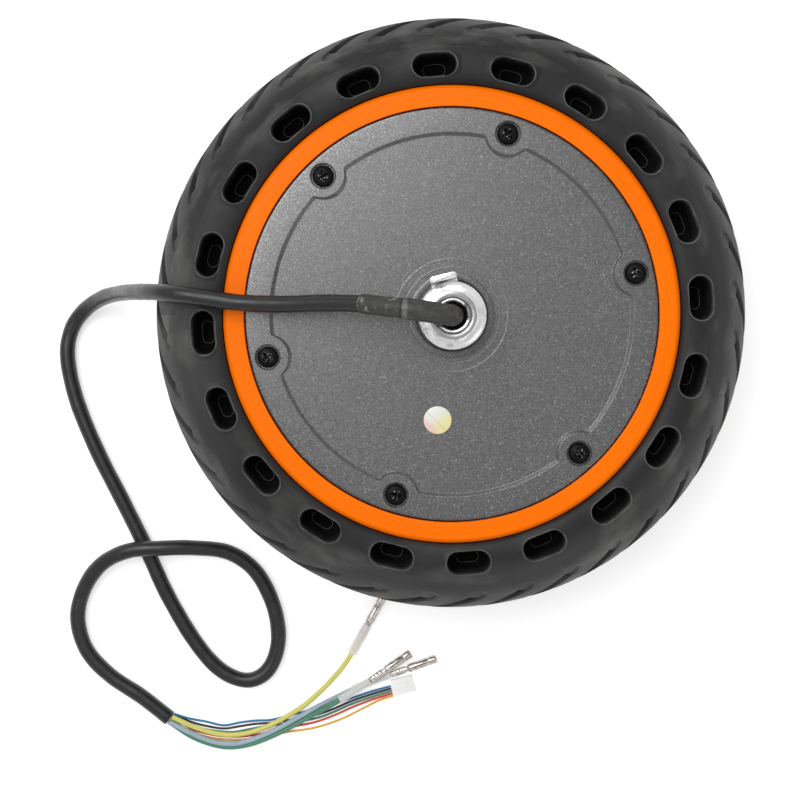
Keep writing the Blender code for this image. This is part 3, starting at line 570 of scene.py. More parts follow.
def build_mesh(name, verts, faces, merge=1e-4, sharp=38):
    """A closed smooth-shaded mesh from points in millimetres."""
    mesh = bpy.data.meshes.new(name)
    mesh.from_pydata([tuple(v) for v in np.asarray(verts) * MM], [], faces)
    bm = bmesh.new()
    bm.from_mesh(mesh)
    bmesh.ops.remove_doubles(bm, verts=bm.verts, dist=merge * MM)
    bmesh.ops.recalc_face_normals(bm, faces=bm.faces)
    bm.to_mesh(mesh)
    bm.free()
    smooth(mesh, sharp)
    return mesh


def smooth(mesh, sharp=38):
    mesh.shade_smooth()
    mesh.set_sharp_from_angle(angle=math.radians(sharp))


def ring_faces(rings, sides, closed, first=0):
    """Quads between neighbouring rings of so many points each."""
    faces = []
    for i in range(rings if closed else rings - 1):
        a = first + i * sides
        b = first + (i + 1) % rings * sides
        faces += [(a + j, a + (j + 1) % sides, b + (j + 1) % sides, b + j) for j in range(sides)]
    return faces


def even_angles(sides):
    return np.linspace(0, 2 * math.pi, sides, endpoint=False)


def ring(radius, height, angles):
    """Points round the axis, with one radius and height or one for each angle."""
    height = np.broadcast_to(height, angles.shape)
    return np.column_stack([radius * np.cos(angles), radius * np.sin(angles), height])


def lathe(name, profile, sides):
    """A turned mesh. A profile that starts on the axis also ends on it."""
    closed = profile[0][0] > 0
    points = [ring(r, z, even_angles(sides)) for r, z in profile]
    return build_mesh(name, np.concatenate(points), ring_faces(len(profile), sides, closed))


def rounded(profile, radius, steps):
    """The closed profile with each corner turned into a short curve."""
    points = [np.array(p, float) for p in profile]
    out = []
    for i, point in enumerate(points):
        back = points[i - 1] - point
        ahead = points[(i + 1) % len(points)] - point
        cut = min(radius, 0.45 * np.linalg.norm(back), 0.45 * np.linalg.norm(ahead))
        start = point + back / np.linalg.norm(back) * cut
        end = point + ahead / np.linalg.norm(ahead) * cut
        for t in np.linspace(0, 1, steps + 1):
            out.append(tuple((1 - t) ** 2 * start + 2 * t * (1 - t) * point + t**2 * end))
    return out


def smooth_curve(route, per_interval=20):
    """A dense Catmull-Rom curve through the route's points."""
    points = np.array(route, float)
    points = np.vstack([2 * points[0] - points[1], points, 2 * points[-1] - points[-2]])
    t = np.arange(per_interval)[:, None] / per_interval
    dense = []
    for a, b, c, d in zip(points, points[1:], points[2:], points[3:]):
        square = 0.5 * t**2 * (2 * a - 5 * b + 4 * c - d)
        cube = 0.5 * t**3 * (3 * b - a - 3 * c + d)
        dense.append(b + 0.5 * t * (c - a) + square + cube)
    return np.vstack([*dense, points[-2]])


def lengths_along(dense):
    steps = np.linalg.norm(np.diff(dense, axis=0), axis=1)
    return np.concatenate([[0.0], np.cumsum(steps)])


def at_lengths(dense, stations, field=None):
    """The curve's points at these lengths, or the values there of a field along it."""
    columns = (dense if field is None else field).T
    return np.column_stack([np.interp(stations, lengths_along(dense), column) for column in columns])


def unit(vectors):
    return vectors / np.linalg.norm(vectors, axis=-1, keepdims=True)


def swept_points(profile, dense, sides):
    """Rings round a path: each profile point is a length along it and a radius."""
    tangents = unit(np.gradient(dense, axis=0))
    side = unit(np.cross(tangents[0], (0.3, 1.0, 0.2)))
    across = []
    for tangent in tangents:
        side = unit(side - tangent * side.dot(tangent))
        across.append(side)
    across = np.array(across)
    lengths, radii = np.array(profile, float).T
    fields = (across, np.cross(tangents, across), dense)
    u, v, centre = (at_lengths(dense, lengths, field)[:, None] for field in fields)
    angles = even_angles(sides)[:, None]
    out = np.cos(angles) * unit(u) + np.sin(angles) * unit(v)
    return (centre + radii[:, None, None] * out).reshape(-1, 3)


def swept(name, profile, dense, sides, closed=False):
    faces = ring_faces(len(profile), sides, closed)
    return build_mesh(name, swept_points(profile, dense, sides), faces)


def modified(mesh, *cutters, operation="DIFFERENCE", bevel=0.0):
    """The mesh after Booleans with the cutter meshes, and a small bevel of its sharp edges."""
    obj, *helpers = [added(each.name + "_helper", each) for each in (mesh, *cutters)]
    for helper in helpers:
        modifier = obj.modifiers.new("cut", "BOOLEAN")
        modifier.operation = operation
        modifier.solver = "EXACT"
        modifier.object = helper
    if bevel:
        modifier = obj.modifiers.new("edges", "BEVEL")
        modifier.width = bevel * MM
        modifier.segments = 2
        modifier.limit_method = "ANGLE"
        modifier.angle_limit = math.radians(35)
    bpy.context.view_layer.update()
    graph = bpy.context.evaluated_depsgraph_get()
    result = bpy.data.meshes.new_from_object(obj.evaluated_get(graph))
    result.name = mesh.name + "_cut"
    for helper in (obj, *helpers):
        bpy.data.objects.remove(helper)
    smooth(result)
    return result


def prism(name, outline, low, high, matrix=None):
    """An outline of (x, y) points, extruded from low to high along Z."""
    count = len(outline)
    verts = [(x, y, low) for x, y in outline] + [(x, y, high) for x, y in outline]
    faces = ring_faces(2, count, False)
    faces += [tuple(range(count)), tuple(range(2 * count - 1, count - 1, -1))]
    mesh = build_mesh(name, verts, faces)
    if matrix is not None:
        mesh.transform(matrix)
    return mesh


def box_mesh(name, low, high, matrix=None):
    corners = [(low[0], low[1]), (high[0], low[1]), (high[0], high[1]), (low[0], high[1])]
    return prism(name, corners, low[2], high[2], matrix)


def turn_z(angle):
    return Matrix.Rotation(math.radians(angle), 4, "Z")


def arc(radius, start, end, count, centre=(0, 0)):
    angles = np.radians(np.linspace(start, end, count))
    return [(centre[0] + radius * math.cos(a), centre[1] + radius * math.sin(a)) for a in angles]


# Tyre

TREAD_CURVE = smooth_curve(TYRE_PROFILE, 40)
TREAD_TANGENTS = unit(np.gradient(TREAD_CURVE, axis=0))
TREAD_LENGTHS = lengths_along(TREAD_CURVE)
TREAD_LENGTHS = TREAD_LENGTHS - np.interp(SHOULDER_R, TREAD_CURVE[:, 0], TREAD_LENGTHS)


def stadium_hits(directions, half_width, straight):
    """Where rays from the centre meet a round-ended slot that is long along Y."""
    x, y = np.abs(directions).T
    ahead, square = y * straight, x * x + y * y
    root = np.sqrt(np.maximum(ahead**2 - square * (straight**2 - half_width**2), 0))
    on_side = y * half_width <= straight * x
    scale = np.where(on_side, half_width / np.maximum(x, 1e-9), (ahead + root) / square)
    return directions * scale[:, None]


def sidewall_height(r):
    return np.interp(r, TREAD_CURVE[:, 0], TREAD_CURVE[:, 1])


def pocket_loops():
    """One pocket's loops of points, from its patch of sidewall down to its floor."""
    inner, outer = POCKET_BAND
    half = 180 / POCKETS
    across = np.linspace(-half, half, COLUMNS // POCKETS + 1)
    between = np.linspace(outer, inner, 7)
    edge = [(outer, a) for a in across] + [(r, half) for r in between[1:-1]]
    edge += [(inner, a) for a in across[::-1]] + [(r, -half) for r in between[::-1][1:-1]]
    radius, degrees = np.array(edge).T
    patch = ring(radius, 0.0, np.radians(degrees))[:, :2] - (POCKET_CIRCLE_R, 0)

    def on_surface(flat, drop):
        r = np.hypot(flat[:, 0] + POCKET_CIRCLE_R, flat[:, 1])
        return np.column_stack([flat, sidewall_height(r) - drop])

    rim = stadium_hits(patch, POCKET_HALF_WIDTH + 0.8, POCKET_STRAIGHT)
    loops = [on_surface(patch + (rim - patch) * t, 0.0) for t in (0, 0.35, 0.7, 1)]
    for beyond, drop in ((0.55, -0.13), (0.3, -0.1), (0.08, 0.15), (0, 0.6)):
        flat = stadium_hits(patch, POCKET_HALF_WIDTH + beyond, POCKET_STRAIGHT)
        loops.append(on_surface(flat, drop))
    walls = [(3.98, 3.75, 20), (3.8, 3.75, 13), (3.62, 3.75, 7), (3.5, 3.75, 5.4)]
    walls += [(3.2, 3.75, 5.1), (2.6, 2.4, 5)]
    oval = [(2.35, 2, 5.2), (2.2, 2, 5.8), (2.0, 2, 5.8), (1.85, 2, 5.2), (1.8, 2, 2.6)]
    for half_width, straight, height in walls + oval:
        flat = stadium_hits(patch, half_width, straight)
        loops.append(np.column_stack([flat, np.full(len(flat), float(height))]))
    return loops


def tread_rows():
    """The tyre's rows from the pocket band to the crown.

    Each is a length along the profile from the shoulder's start, a lift, the grooves' depth,
    and how far the columns have moved from even ones to those of the grooves.
    """
    crown = float(TREAD_LENGTHS[-1])
    rows = []
    for radius, lift in (
        (94.4, 0), (95, 0), (95.3, 0.08), (95.6, 0.12), (95.9, 0.08), (96.2, 0), (97.2, 0), (98.2, 0),
        (SHOULDER_R, 0),
    ):
        blend = min(1.0, (radius - POCKET_BAND[1]) / 4.7)
        rows.append((float(np.interp(radius, TREAD_CURVE[:, 0], TREAD_LENGTHS)), lift, 0, blend))
    deep, end = HEAD_LENGTH, crown - 3.0
    stops = [(1.0, 0), (1.9, 0), (2.1, 0.1), (2.5, HEAD_DEPTH), (3.8, HEAD_DEPTH), (5.2, HEAD_DEPTH)]
    stops += [(deep, HEAD_DEPTH), (deep + 0.12, 0.5 * GROOVE_DEPTH), (deep + 0.5, GROOVE_DEPTH)]
    stops += [(x, GROOVE_DEPTH) for x in np.linspace(deep + 1.3, end - 1.0, 12)]
    stops += [(end - 0.45, 0.8 * GROOVE_DEPTH), (end - 0.1, 0.15), (end, 0), (end + 1.5, 0), (crown, 0)]
    return rows + [(length, 0, depth, 1.0) for length, depth in stops]


def tyre_columns():
    """For each column: its even angle, and the grooves' angle, depth share and slant there."""
    even = POCKET_ANGLE - 180 / POCKETS + np.arange(COLUMNS) * 360 / COLUMNS
    per_groove = COLUMNS // GROOVES
    first = GROOVE_ANGLE - GROOVE_COLUMNS[GROOVE_CENTRE]
    index = np.arange(COLUMNS) - round((first - even[0]) / (360 / COLUMNS))
    column = index % per_groove
    grooved = first + 360 / GROOVES * (index // per_groove) + np.array(GROOVE_COLUMNS)[column]
    slant = HEAD_SLANT * np.interp(column, (0, 2, 8, 10), (-0.3, -1, 1, -0.3))
    return even, grooved, np.array(GROOVE_DEPTHS)[column], slant


def tread_ring(columns, side, length, lift, depth, blend):
    """One row of the tread, on the front side (1) or the rear side (-1)."""
    even, grooved, share, slant = columns
    crown = float(TREAD_LENGTHS[-1])
    lengths = length + slant * np.interp(length, (0, HEAD_LENGTH, crown - 4, crown), (0, 1, 0, 0))
    fields = (*TREAD_CURVE.T, *TREAD_TANGENTS.T)
    r, z, u, v = (np.interp(lengths, TREAD_LENGTHS, field) for field in fields)
    out = lift - depth * share
    swept_from = HEAD_LENGTH - 1.2
    sweep = SWEEP_PER_MM * (np.clip(lengths, swept_from, crown - 1.5) - swept_from)
    angles = even * (1 - blend) + grooved * blend - sweep
    return ring(r - v * out, side * (z + u * out), np.radians(angles))


def pocket_parts(count):
    """The points and faces of every pocket, where count points come before them."""
    loops = pocket_loops()
    size = len(loops[0])
    verts, faces = [], []
    for k in range(POCKETS):
        a = math.radians(POCKET_ANGLE + 360 / POCKETS * k)
        turn = np.array([[math.cos(a), -math.sin(a)], [math.sin(a), math.cos(a)]])
        for side in (1, -1):
            for loop in loops:
                flat = (loop[:, :2] + (POCKET_CIRCLE_R, 0)) @ turn.T
                verts.append(np.column_stack([flat, loop[:, 2] * side]))
            faces += ring_faces(len(loops), size, False, count)
            count += len(loops) * size
            faces.append(tuple(range(count - size, count)))
    return verts, faces


def make_tyre(mat):
    columns = tyre_columns()
    even = np.radians(columns[0])
    front = tread_rows()
    rings = [tread_ring(columns, 1, *row) for row in front]
    rings += [tread_ring(columns, -1, *row) for row in front[-2::-1]]
    faces = ring_faces(len(rings), COLUMNS, False)
    inner = POCKET_BAND[0]
    lip = [(inner, float(sidewall_height(inner))), (82.9, 23.2), (82.35, 22.8), (82.1, 22.2)]
    lip += [(82.1, 16.4), (72.3, 16.4)]
    inside = [ring(r, z, even) for r, z in lip + [(r, -z) for r, z in reversed(lip)]]
    faces += ring_faces(len(inside), COLUMNS, False, len(rings) * COLUMNS)
    rings += inside
    pocket_verts, pocket_faces = pocket_parts(len(rings) * COLUMNS)
    verts = np.concatenate(rings + pocket_verts)
    mesh = build_mesh("tyre_tread", verts, faces + pocket_faces, merge=2e-3, sharp=42)
    piece("tyre_tread", mesh, mat, "wheel", "tyre")


# Housing


def screw_places():
    out = Matrix.Translation((SCREW_CIRCLE_R * MM, 0, 0))
    return [turn_z(SCREW_ANGLE + 60 * k) @ out for k in range(6)]


def at_screws(name, profile, sides):
    """A turned cutter at each screw."""
    cutters = []
    for place in screw_places():
        cutter = lathe(name, profile, sides)
        cutter.transform(place)
        cutters.append(cutter)
    return cutters


def recess_edge(angles):
    """The recess's outline as a radius for each angle: a circle with a bite at each screw."""
    radii = np.full(len(angles), RECESS_R)
    for k in range(6):
        off = np.radians((angles - SCREW_ANGLE - 60 * k + 180) % 360 - 180)
        aside = np.abs(SCREW_CIRCLE_R * np.sin(off))
        reach = np.sqrt(np.maximum(SCALLOP_R**2 - aside**2, 0))
        near = np.minimum(radii, SCREW_CIRCLE_R * np.cos(off) - reach)
        radii = np.where((aside < SCALLOP_R) & (np.abs(off) < 0.5), near, radii)
    return radii


def make_cover(mat):
    columns = 720
    angles = np.linspace(0, 360, columns, endpoint=False)
    edge = recess_edge(angles)
    floor = COVER_TOP - RECESS_DEPTH
    rows = [(16.3, 19.8), (15.35, 19.8), (15.3, 20.0), (15.3, floor - 0.06), (15.36, floor)]
    rows.append((15.5, floor))
    for bead in HUB_CIRCLES:
        across = ((-0.3, 0), (-0.17, 0), (-0.06, 0.06), (0.06, 0.06), (0.17, 0), (0.3, 0))
        rows += [(bead + beyond, floor + height) for beyond, height in across]
    rows += [(30, floor), (44, floor), (55, floor)]
    step = [(-0.75, 0), (-0.62, 0), (-0.5, 0.06), (0.5, 0.74), (0.62, RECESS_DEPTH), (0.75, RECESS_DEPTH)]
    rows += [(edge + beyond, floor + height) for beyond, height in step]
    rows += [(72.8, COVER_TOP), (73.5, 21.45), (73.85, 21.3), (74, 20.95), (74, 17.5), (62, 17.5)]
    rows += [(62, 13), (59.5, 13), (56, 17.5), (20, 17.5), (20, 10.5), (16.3, 10.5)]
    points = [ring(radius, height, np.radians(angles)) for radius, height in rows]
    mesh = build_mesh("cover_plate", np.concatenate(points), ring_faces(len(rows), columns, True))
    hole = [(0, 25), (4.75, 25), (4.75, 21.56), (4.3, 21.1), (4.3, 18.9), (1.8, 18.9), (1.8, 16), (0, 16)]
    mesh = modified(mesh, *at_screws("screw_hole", hole, 48))
    piece("cover_plate", mesh, mat, "wheel", "front_cover")


def make_shell(mat):
    floor = RECESS_DEPTH - COVER_TOP
    profile = [
        (81, 20.5), (81, 16.7), (72, 16.7), (72, -16.7), (81, -16.7), (81, -20.5), (74, -20.5),
        (74, -21.0), (73.4, -COVER_TOP), (RECESS_R + 0.2, -COVER_TOP), (RECESS_R - 0.2, floor),
        (44, floor), (24.2, floor), (23.8, floor - 0.3), (20.2, floor - 0.3), (19.8, floor),
        (15.3, floor), (15.3, -19.8), (16.3, -19.8), (16.3, -10.5), (20, -10.5), (20, -17.5),
        (56, -17.5), (59.5, -12.8), (62.3, -12.8), (62.3, 16.4), (74.3, 16.4), (74.3, 20.5),
    ]
    holes = at_screws("tapped_hole", [(0, 18), (1.8, 18), (1.8, 5), (0, 4)], 24)
    mesh = modified(lathe("rim_shell", rounded(profile, 0.3, 2), 240), *holes)
    piece("rim_shell", mesh, mat, "wheel", "hub_shell")


def make_trim_rings(mat):
    profile = [(80.5, 22.5), (81.8, 21.5), (81.8, 20.8), (74.3, 20.8), (74.3, 22.3), (74.5, 22.5)]
    mesh = lathe("trim_front", rounded(profile, 0.45, 5), 240)
    both_sides("trim", mesh, mat, "wheel", "trim_ring")


def cross_cutter(angle):
    """One arm of a cross recess, narrower towards its bottom."""
    top, low = (2.3, 0.55), (1.0, 0.32)
    verts = []
    for (x, y), z in ((low, 19.4), (top, 21.9)):
        verts += [(-x, -y, z), (x, -y, z), (x, y, z), (-x, y, z)]
    faces = ring_faces(2, 4, False) + [(0, 1, 2, 3), (7, 6, 5, 4)]
    mesh = build_mesh("cross", verts, faces)
    mesh.transform(turn_z(angle))
    return mesh


def make_screws(mat):
    head = [
        (0, 21.4), (1.4, 21.37), (2.5, 21.26), (3.3, 21.02), (3.7, 20.65), (3.8, 20.25), (3.8, 19.4),
        (3.65, 19.2), (1.5, 19.2), (1.5, 7), (0.9, 6), (0, 6),
    ]
    core = lathe("screw_core", [(0, 21.9), (0.8, 21.9), (0.45, 19.2), (0, 19.0)], 16)
    blank = lathe("screw", head, 48)
    screw = modified(blank, cross_cutter(0), cross_cutter(90), core, bevel=0.06)
    for k, (place, turn) in enumerate(zip(screw_places(), SCREW_TURNS), 1):
        mesh = screw.copy()
        mesh.transform(place @ turn_z(turn))
        piece(f"cross_screw_{k}", mesh, mat, "wheel", f"cover_screw_{k}")


def make_label(mat):
    profile = [(0, 21), (4.75, 21), (4.95, 20.95), (5, 20.88), (4.95, 20.82), (4.8, 20.8), (0, 20.8)]
    mesh = lathe("round_label", profile, 72)
    mesh.transform(Matrix.Translation(Vector(LABEL_PLACE) * MM))
    piece("round_label", mesh, mat, "wheel", "inspection_label")


def make_seals(mat):
    profile = [
        (15.27, 20.7), (SEAL_LIP_R, 20.7), (12.8, 20.2), (12.2, 20.1), (12.0, 20.6), (10.6, 20.8),
        (9.8, 20.4), (9.8, 19.8), (15.27, 19.85),
    ]
    mesh = lathe("seal_front", rounded(profile, 0.03, 2), 144)
    both_sides("seal", mesh, mat, "wheel", "oil_seal")


# Axle, nuts and washers


def make_spacers(mat):
    profile = [(11.8, 26), (11.8, 21.5), (9.4, 21.5), (9.4, 19.8), (7.65, 19.8), (7.65, 26)]
    mesh = lathe("spacer_front", rounded(profile, 0.35, 3), 96)
    both_sides("spacer", mesh, mat, "axle", "spacer")


def threaded_rows(start, end):
    """Heights from start to end, eight to each turn of the thread."""
    return np.linspace(start, end, round(abs(end - start) / THREAD_PITCH * 8))


def axle_ring(radius, height, angles):
    """A ring of the axle's points: threaded outside, and with two flats beyond the spacers."""
    radii = np.full(len(angles), float(radius))
    if radius == AXLE_R and 27 < abs(height) < 41.2:
        phase = (height / THREAD_PITCH - angles / (2 * math.pi)) % 1.0
        radii -= 0.55 * np.abs(2 * phase - 1)
    x, y, z = ring(radii, height, angles).T
    if abs(height) >= 26.3:
        a = math.radians(TAB_ANGLE + 90)
        across = x * math.cos(a) + y * math.sin(a)
        cut = across - np.clip(across, -AXLE_FLAT, AXLE_FLAT)
        x, y = x - cut * math.cos(a), y - cut * math.sin(a)
    return np.column_stack([x, y, z])


def make_axle(mat):
    angles = even_angles(96)
    outer = [(5.6, AXLE_END), (5.95, 41.6), (6.15, 41.3)]
    outer += [(AXLE_R, z) for z in threaded_rows(41.1, 27.2)]
    outer += [(AXLE_R, 26.3), (AXLE_R, 26.0), (7.1, 26.0), (7.35, 25.75)]
    outer += [(7.35, 10.2), (9.8, 10.2), (10, 10)]
    lower = [(r, -z) for r, z in reversed(outer)]
    bore = [(0, 6.3), (4.1, 6.3), (4.2, 6.5), (4.2, 38), (4.9, 40.9), (5.05, 41.5)]
    rings = [axle_ring(r, z, angles) for r, z in bore + outer + lower + [(0, -AXLE_END)]]
    faces = ring_faces(len(rings), len(angles), False)
    mesh = build_mesh("axle_shaft", np.concatenate(rings), faces)
    window = box_mesh("lead_window", (2, -2.5, 6.31), (12, 2.5, 9.6))
    keyway = box_mesh("keyway", (7.7, -2.3, -6), (12, 2.3, 6), turn_z(180))
    piece("axle_shaft", modified(mesh, window, keyway), mat, "axle", "axle")


def make_washers(mat):
    flat, hole_r, rim_r = 5.3, 6.3, 11.8
    half, low, top, tip = 4.7, 31.0, 33.0, 40.0
    inner, outer, foot_r, tab_r = 12.6, 14.8, 1.3, 1.05
    corner = math.degrees(math.asin(flat / hole_r))
    root = math.degrees(math.asin(half / rim_r))
    rim = arc(rim_r, root, 360 - root, 120) + [(inner, -half), (inner, half)]
    hole = arc(hole_r, -corner, corner, 24) + arc(hole_r, 180 - corner, 180 + corner, 24)
    bend = [(10.6, low)] + arc(2.4, -90, 0, 7, (12.4, low + 2.4)) + [(outer, 34.4), (inner, 34.4)]
    bend += arc(0.8, 0, -90, 5, (11.8, top + 0.8))[:-1] + [(10.6, top)]
    keep = [(10, -half)] + arc(foot_r, -90, 0, 7, (outer - foot_r, foot_r - half))
    keep += arc(foot_r, 0, 90, 7, (outer - foot_r, half - foot_r)) + [(10, half)]
    upright = Matrix(((1, 0, 0, 0), (0, 0, -1, 0), (0, 1, 0, 0), (0, 0, 0, 1)))
    tab = []
    for x, y, start in (
        (outer - tab_r, half - tab_r, 0), (inner + tab_r, half - tab_r, 90),
        (inner + tab_r, tab_r - half, 180), (outer - tab_r, tab_r - half, 270),
    ):
        tab += arc(tab_r, start, start + 90, 6, (x, y))
    plate = modified(prism("washer", rim, low, top), prism("hole", hole, 25, 37))
    foot = prism("bend", bend, -half, half, upright)
    foot = modified(foot, prism("keep", keep, 30, 36), operation="INTERSECT")
    plate = modified(plate, foot, operation="UNION")
    mesh = modified(plate, prism("tab", tab, 34.0, tip), operation="UNION", bevel=0.35)
    mesh.transform(turn_z(TAB_ANGLE))
    both_sides("lock_washer", mesh, mat, "axle", "tab_washer", TAB_ANGLE)


def make_nuts(mat):
    outside = [
        (6.75, NUT_FACE), (8.3, NUT_FACE), (9.9, 42.3), (9.9, 36.2), (10.3, 35.9), (11.3, 35.5),
        (11.8, 35.2), (12, 34.8), (12, 33.6), (11.8, 33.3), (6.6, 33.3),
    ]
    thread = []
    for k in range(7):
        thread += [(6.3, 34 + k * THREAD_PITCH), (6.5, 34 + (k + 0.5) * THREAD_PITCH)]
    mesh = lathe("nut_front", outside + thread, 144)
    flats = []
    for k in range(6):
        low, high = (8.5, -9, 35.95), (14, 9, 45)
        flats.append(box_mesh("flat", low, high, turn_z(HEX_ANGLE + 30 + 60 * k)))
    mesh = modified(mesh, *flats, bevel=0.12)
    both_sides("nut", mesh, mat, "axle", "flange_nut", TAB_ANGLE)


# Cable and wires


def sleeve_profile(start, end, outer_r, wall):
    """A creased tube round the cable, from one length along it to another."""
    inner_r = outer_r - wall
    stretch = np.arange(start + 0.8, end - 0.7, 0.7)
    creases = 0.08 * np.sin(stretch * 1.9) * np.sin(stretch * 0.37 + 1)
    profile = [(start, inner_r + 0.1), (start, outer_r - 0.25), (start + 0.35, outer_r - 0.07)]
    profile += list(zip(stretch, outer_r - 0.08 + creases))
    profile += [(end - 0.35, outer_r - 0.05), (end, outer_r - 0.2), (end, inner_r + 0.1)]
    return profile + [(s, inner_r) for s in np.arange(end - 1, start + 1, -1.5)]


def make_cable(cable_mat, sleeve_mat, worn_mat):
    dense = smooth_curve(CABLE_ROUTE)
    total = float(lengths_along(dense)[-1])
    stations = np.arange(1.0, total - 1.0, 1.5)
    skin = [(s, CABLE_R + 0.03 * math.sin(s / 3.1) + 0.02 * math.sin(s / 1.3)) for s in stations]
    profile = [(0, 0), (0, 2.8)] + skin + [(total - 0.3, CABLE_R), (total, 2.8), (total, 2.45)]
    profile += [(total - 1.6, 2.4), (total - 1.6, 0)]
    mesh = swept("power_cable", profile, dense, 28)
    cable = piece("power_cable", mesh, cable_mat, "axle", "cable")
    for name, node, size, mat in (
        ("heat_shrink_exit", "exit_sleeve", EXIT_SLEEVE, sleeve_mat),
        ("heat_shrink_worn", "worn_sleeve", WORN_SLEEVE, worn_mat),
    ):
        mesh = swept(name, sleeve_profile(*size), dense, 32, closed=True)
        piece(name, mesh, mat, "axle", node)


def wire(name, node, route, radius, mat):
    """A wire's piece, its dense route and its length."""
    dense = smooth_curve(route)
    total = float(lengths_along(dense)[-1])
    profile = [(0, 0), (0, radius * 0.9)] + [(s, radius) for s in np.arange(0.2, total - 0.1, 1.2)]
    profile += [(total, radius * 0.92), (total, 0)]
    mesh = swept(name, profile, dense, 14)
    return piece(name, mesh, mat, "axle", node), dense, total


def terminal_mesh(name):
    """A crimped bullet receptacle along +Z: folded crimp, neck, then the slotted barrel."""
    length = TERMINAL_LENGTH
    crimp = [(1.3 + 0.07 * math.sin(2 * math.pi * z / 1.5), z) for z in np.arange(5.8, 0.2, -0.25)]
    profile = [(0, 11.5), (1.15, 11.5), (1.2, length - 0.3), (1.4, length), (1.65, length)]
    profile += [(1.75, length - 0.25), (1.75, 16.2), (1.62, 15.9), (1.62, 15.5), (1.75, 15.2)]
    profile += [(1.75, 8.4), (1.65, 7.7), (1.1, 6.9), (1.05, 6.4)] + crimp + [(1.15, 0), (0, 0)]
    mesh = lathe(name, profile, 28)
    for vert in mesh.vertices:
        z = vert.co.z / MM
        if z < 6.2:
            vert.co.x *= 1.08
            vert.co.y *= 0.84
    slit = box_mesh("slit", (-0.16, 0.4, 8.6), (0.16, 3, length + 1))
    fold = box_mesh("fold", (-0.12, 0.75, 0.3), (0.12, 3, 5.9))
    return modified(mesh, slit, fold, bevel=0.05)


def clear_sleeve_mesh(name, colour, dense, total, direction):
    """A thin tube over the wire's end and, if it reaches that far, the terminal's crimp."""
    before, beyond, outer_r = CLEAR_SLEEVES[colour]
    path = at_lengths(dense, np.linspace(total - before, total, 40))
    if beyond:
        path = np.vstack([path, [dense[-1] + t * direction for t in np.linspace(0.3, beyond, 16)]])
    length = float(lengths_along(path)[-1])
    profile = [(0, outer_r - 0.22), (0.08, outer_r - 0.04)]
    profile += [(s, outer_r - 0.02) for s in np.arange(0.5, length - 0.4, 0.8)]
    profile += [(length - 0.08, outer_r - 0.04), (length, outer_r - 0.22)]
    profile += [(s, outer_r - 0.3) for s in np.arange(length - 0.3, 0.2, -0.8)]
    return swept(name, profile, path, 24, closed=True)


def make_phase_wires(mats, tinned, clear):
    for colour, route in PHASE_ROUTES.items():
        slot = f"wire_{colour}"
        obj, dense, total = wire(f"motor_{slot}", f"phase_{slot}", route, PHASE_R, mats[colour])
        direction = unit(np.array(TERMINAL_TIPS[colour]) - dense[-1])
        place = Matrix.Translation(Vector(dense[-1] + FACE_GAP * direction) * MM)
        name = f"bullet_{colour}"
        mesh = terminal_mesh(name)
        mesh.transform(place @ Vector(direction).to_track_quat("Z", "Y").to_matrix().to_4x4())
        bullet = piece(name, mesh, tinned, "axle", f"terminal_{colour}")
        name = f"cover_tube_{colour}"
        mesh = clear_sleeve_mesh(name, colour, dense, total, direction)
        tube = piece(name, mesh, clear, "axle", f"clear_sleeve_{colour}")


def make_plug(mat):
    x, y, z = (size / 2 for size in PLUG_SIZE)
    body = box_mesh("plug", (-x, -y, 0.1 - z), (x, y, z - 0.5))
    rail = box_mesh("rail", (0.2 - x, -1.0, 0.5), (x - 2.6, 1.0, z - 0.05))
    cuts = []
    for k in range(5):
        row = (k - 2) * 1.18
        cuts.append(box_mesh("cavity", (x - 3.5, row - 0.38, -0.9), (x + 1, row + 0.38, 0.6)))
        cuts.append(box_mesh("entry", (-x - 1, row - 0.48, -0.5), (0.9 - x, row + 0.48, 0.5)))
    for row in (-y, y):
        cuts.append(box_mesh("notch", (-1.2, row - 0.45, -0.6), (2.6, row + 0.45, 0.4)))
    mesh = modified(body, rail, operation="UNION")
    mesh = modified(mesh, *cuts, bevel=0.12)
    mesh.transform(Matrix.Translation(Vector(PLUG_CENTRE) * MM) @ turn_z(PLUG_ANGLE))
    return piece("wire_plug", mesh, mat, "axle", "sensor_plug")


def make_sensor_wires(mats):
    for colour, route in SENSOR_ROUTES.items():
        name = f"signal_wire_{colour}"
        obj, dense, total = wire(name, f"sensor_wire_{colour}", route, SENSOR_R, mats[colour])


# Pieces inside


def dress_inner_nodes(finishes):
    """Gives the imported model's own inner pieces their real finishes."""
    for name, mat in finishes.items():
        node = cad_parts[name]
        for slot in node.material_slots:
            slot.material = mat


# The scene

make_camera()
make_lights()
make_floor()

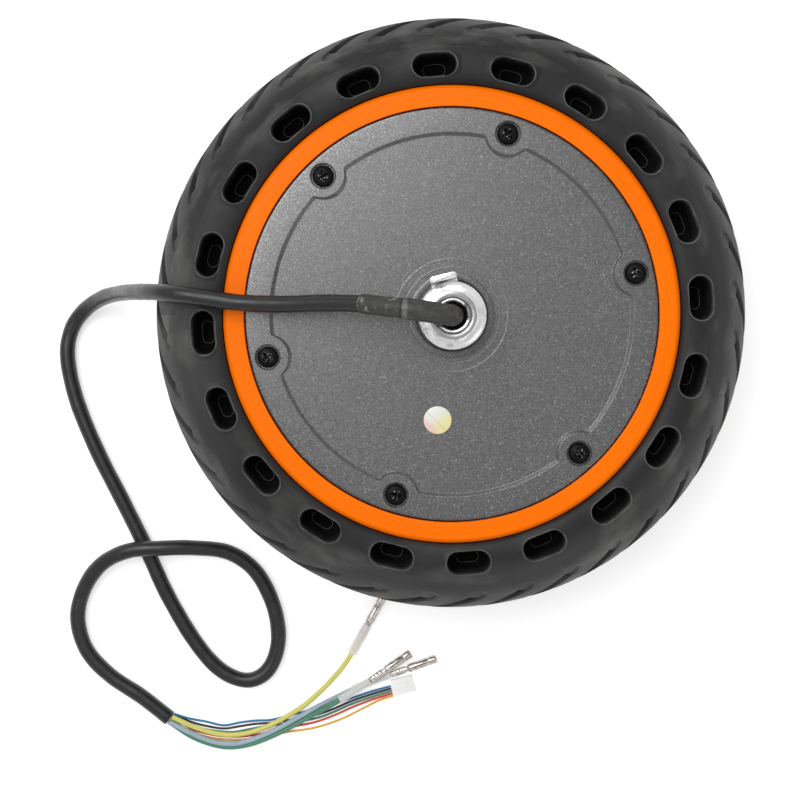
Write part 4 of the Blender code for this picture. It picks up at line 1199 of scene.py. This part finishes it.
paint = sparkle_paint()
steel = metal("turned_steel", (0.56, 0.56, 0.57), 0.32, 0.8)
zinc = bright_zinc()
tinned = metal("tinned_brass", (0.8, 0.75, 0.71), 0.3, 0.6, scale=700)
pvc = soft_plastic("cable_pvc", (0.014, 0.014, 0.015), 0.34, 0.1, 0.14)
gasket = soft_plastic("gasket_rubber", (0.05, 0.05, 0.051), 0.5)
wires = {name: soft_plastic(name, colour, 0.4, mark) for name, (colour, mark) in WIRE_TINTS.items()}

make_cable(pvc, shrink_sleeve(), worn_sleeve())
phase_mats = {colour: wires[f"wire_{colour}"] for colour in PHASE_ROUTES}
make_phase_wires(phase_mats, tinned, clear_plastic())
plug = make_plug(white_nylon())
signal_mats = {
    "blue": wires["signal_blue"], "black": pvc, "green": wires["wire_green"],
    "red": wires["signal_red"], "yellow": wires["signal_orange"],
}
make_sensor_wires(signal_mats)

make_tyre(tyre_rubber())
make_cover(paint)
make_shell(paint)
make_trim_rings(orange_paint())
make_screws(black_steel())
make_label(pale_foil())
make_seals(paint)
make_spacers(steel)
make_axle(metal("axle_steel", (0.86, 0.86, 0.86), 0.26, 0.8))
make_washers(zinc)
make_nuts(zinc)

copper = metal("enamelled_copper", (0.72, 0.3, 0.13), 0.3, 0.7, (1, 1, 8), 900)
laminated = metal("laminated_steel", (0.36, 0.36, 0.37), 0.45, 0.6, (0.05, 0.05, 1), 2000)
cast = metal("cast_aluminium", (0.66, 0.66, 0.67), 0.5, 0.85, scale=1500)
nickel = metal("magnet_nickel", (0.6, 0.58, 0.55), 0.25, 0.85)
board = soft_plastic("green_board", (0.03, 0.22, 0.09), 0.4, (0.1, 0.35, 0.15))
chip = soft_plastic("black_plastic", (0.025, 0.025, 0.027), 0.5)
finishes = {
    "cover_gasket": gasket, "flux_ring": steel, "magnet_ring": nickel, "stator_core": laminated,
    "stator_carrier": cast, "winding_u": copper, "winding_v": copper, "winding_w": copper,
    "hall_board": board, "axle_key": steel, "internal_leads": pvc,
}
finishes.update({f"hall_sensor_{k}": chip for k in (1, 2, 3)})
for side in ("front", "rear"):
    for part in ("outer_ring", "inner_ring", "balls"):
        finishes[f"{side}_bearing_{part}"] = steel
dress_inner_nodes(finishes)
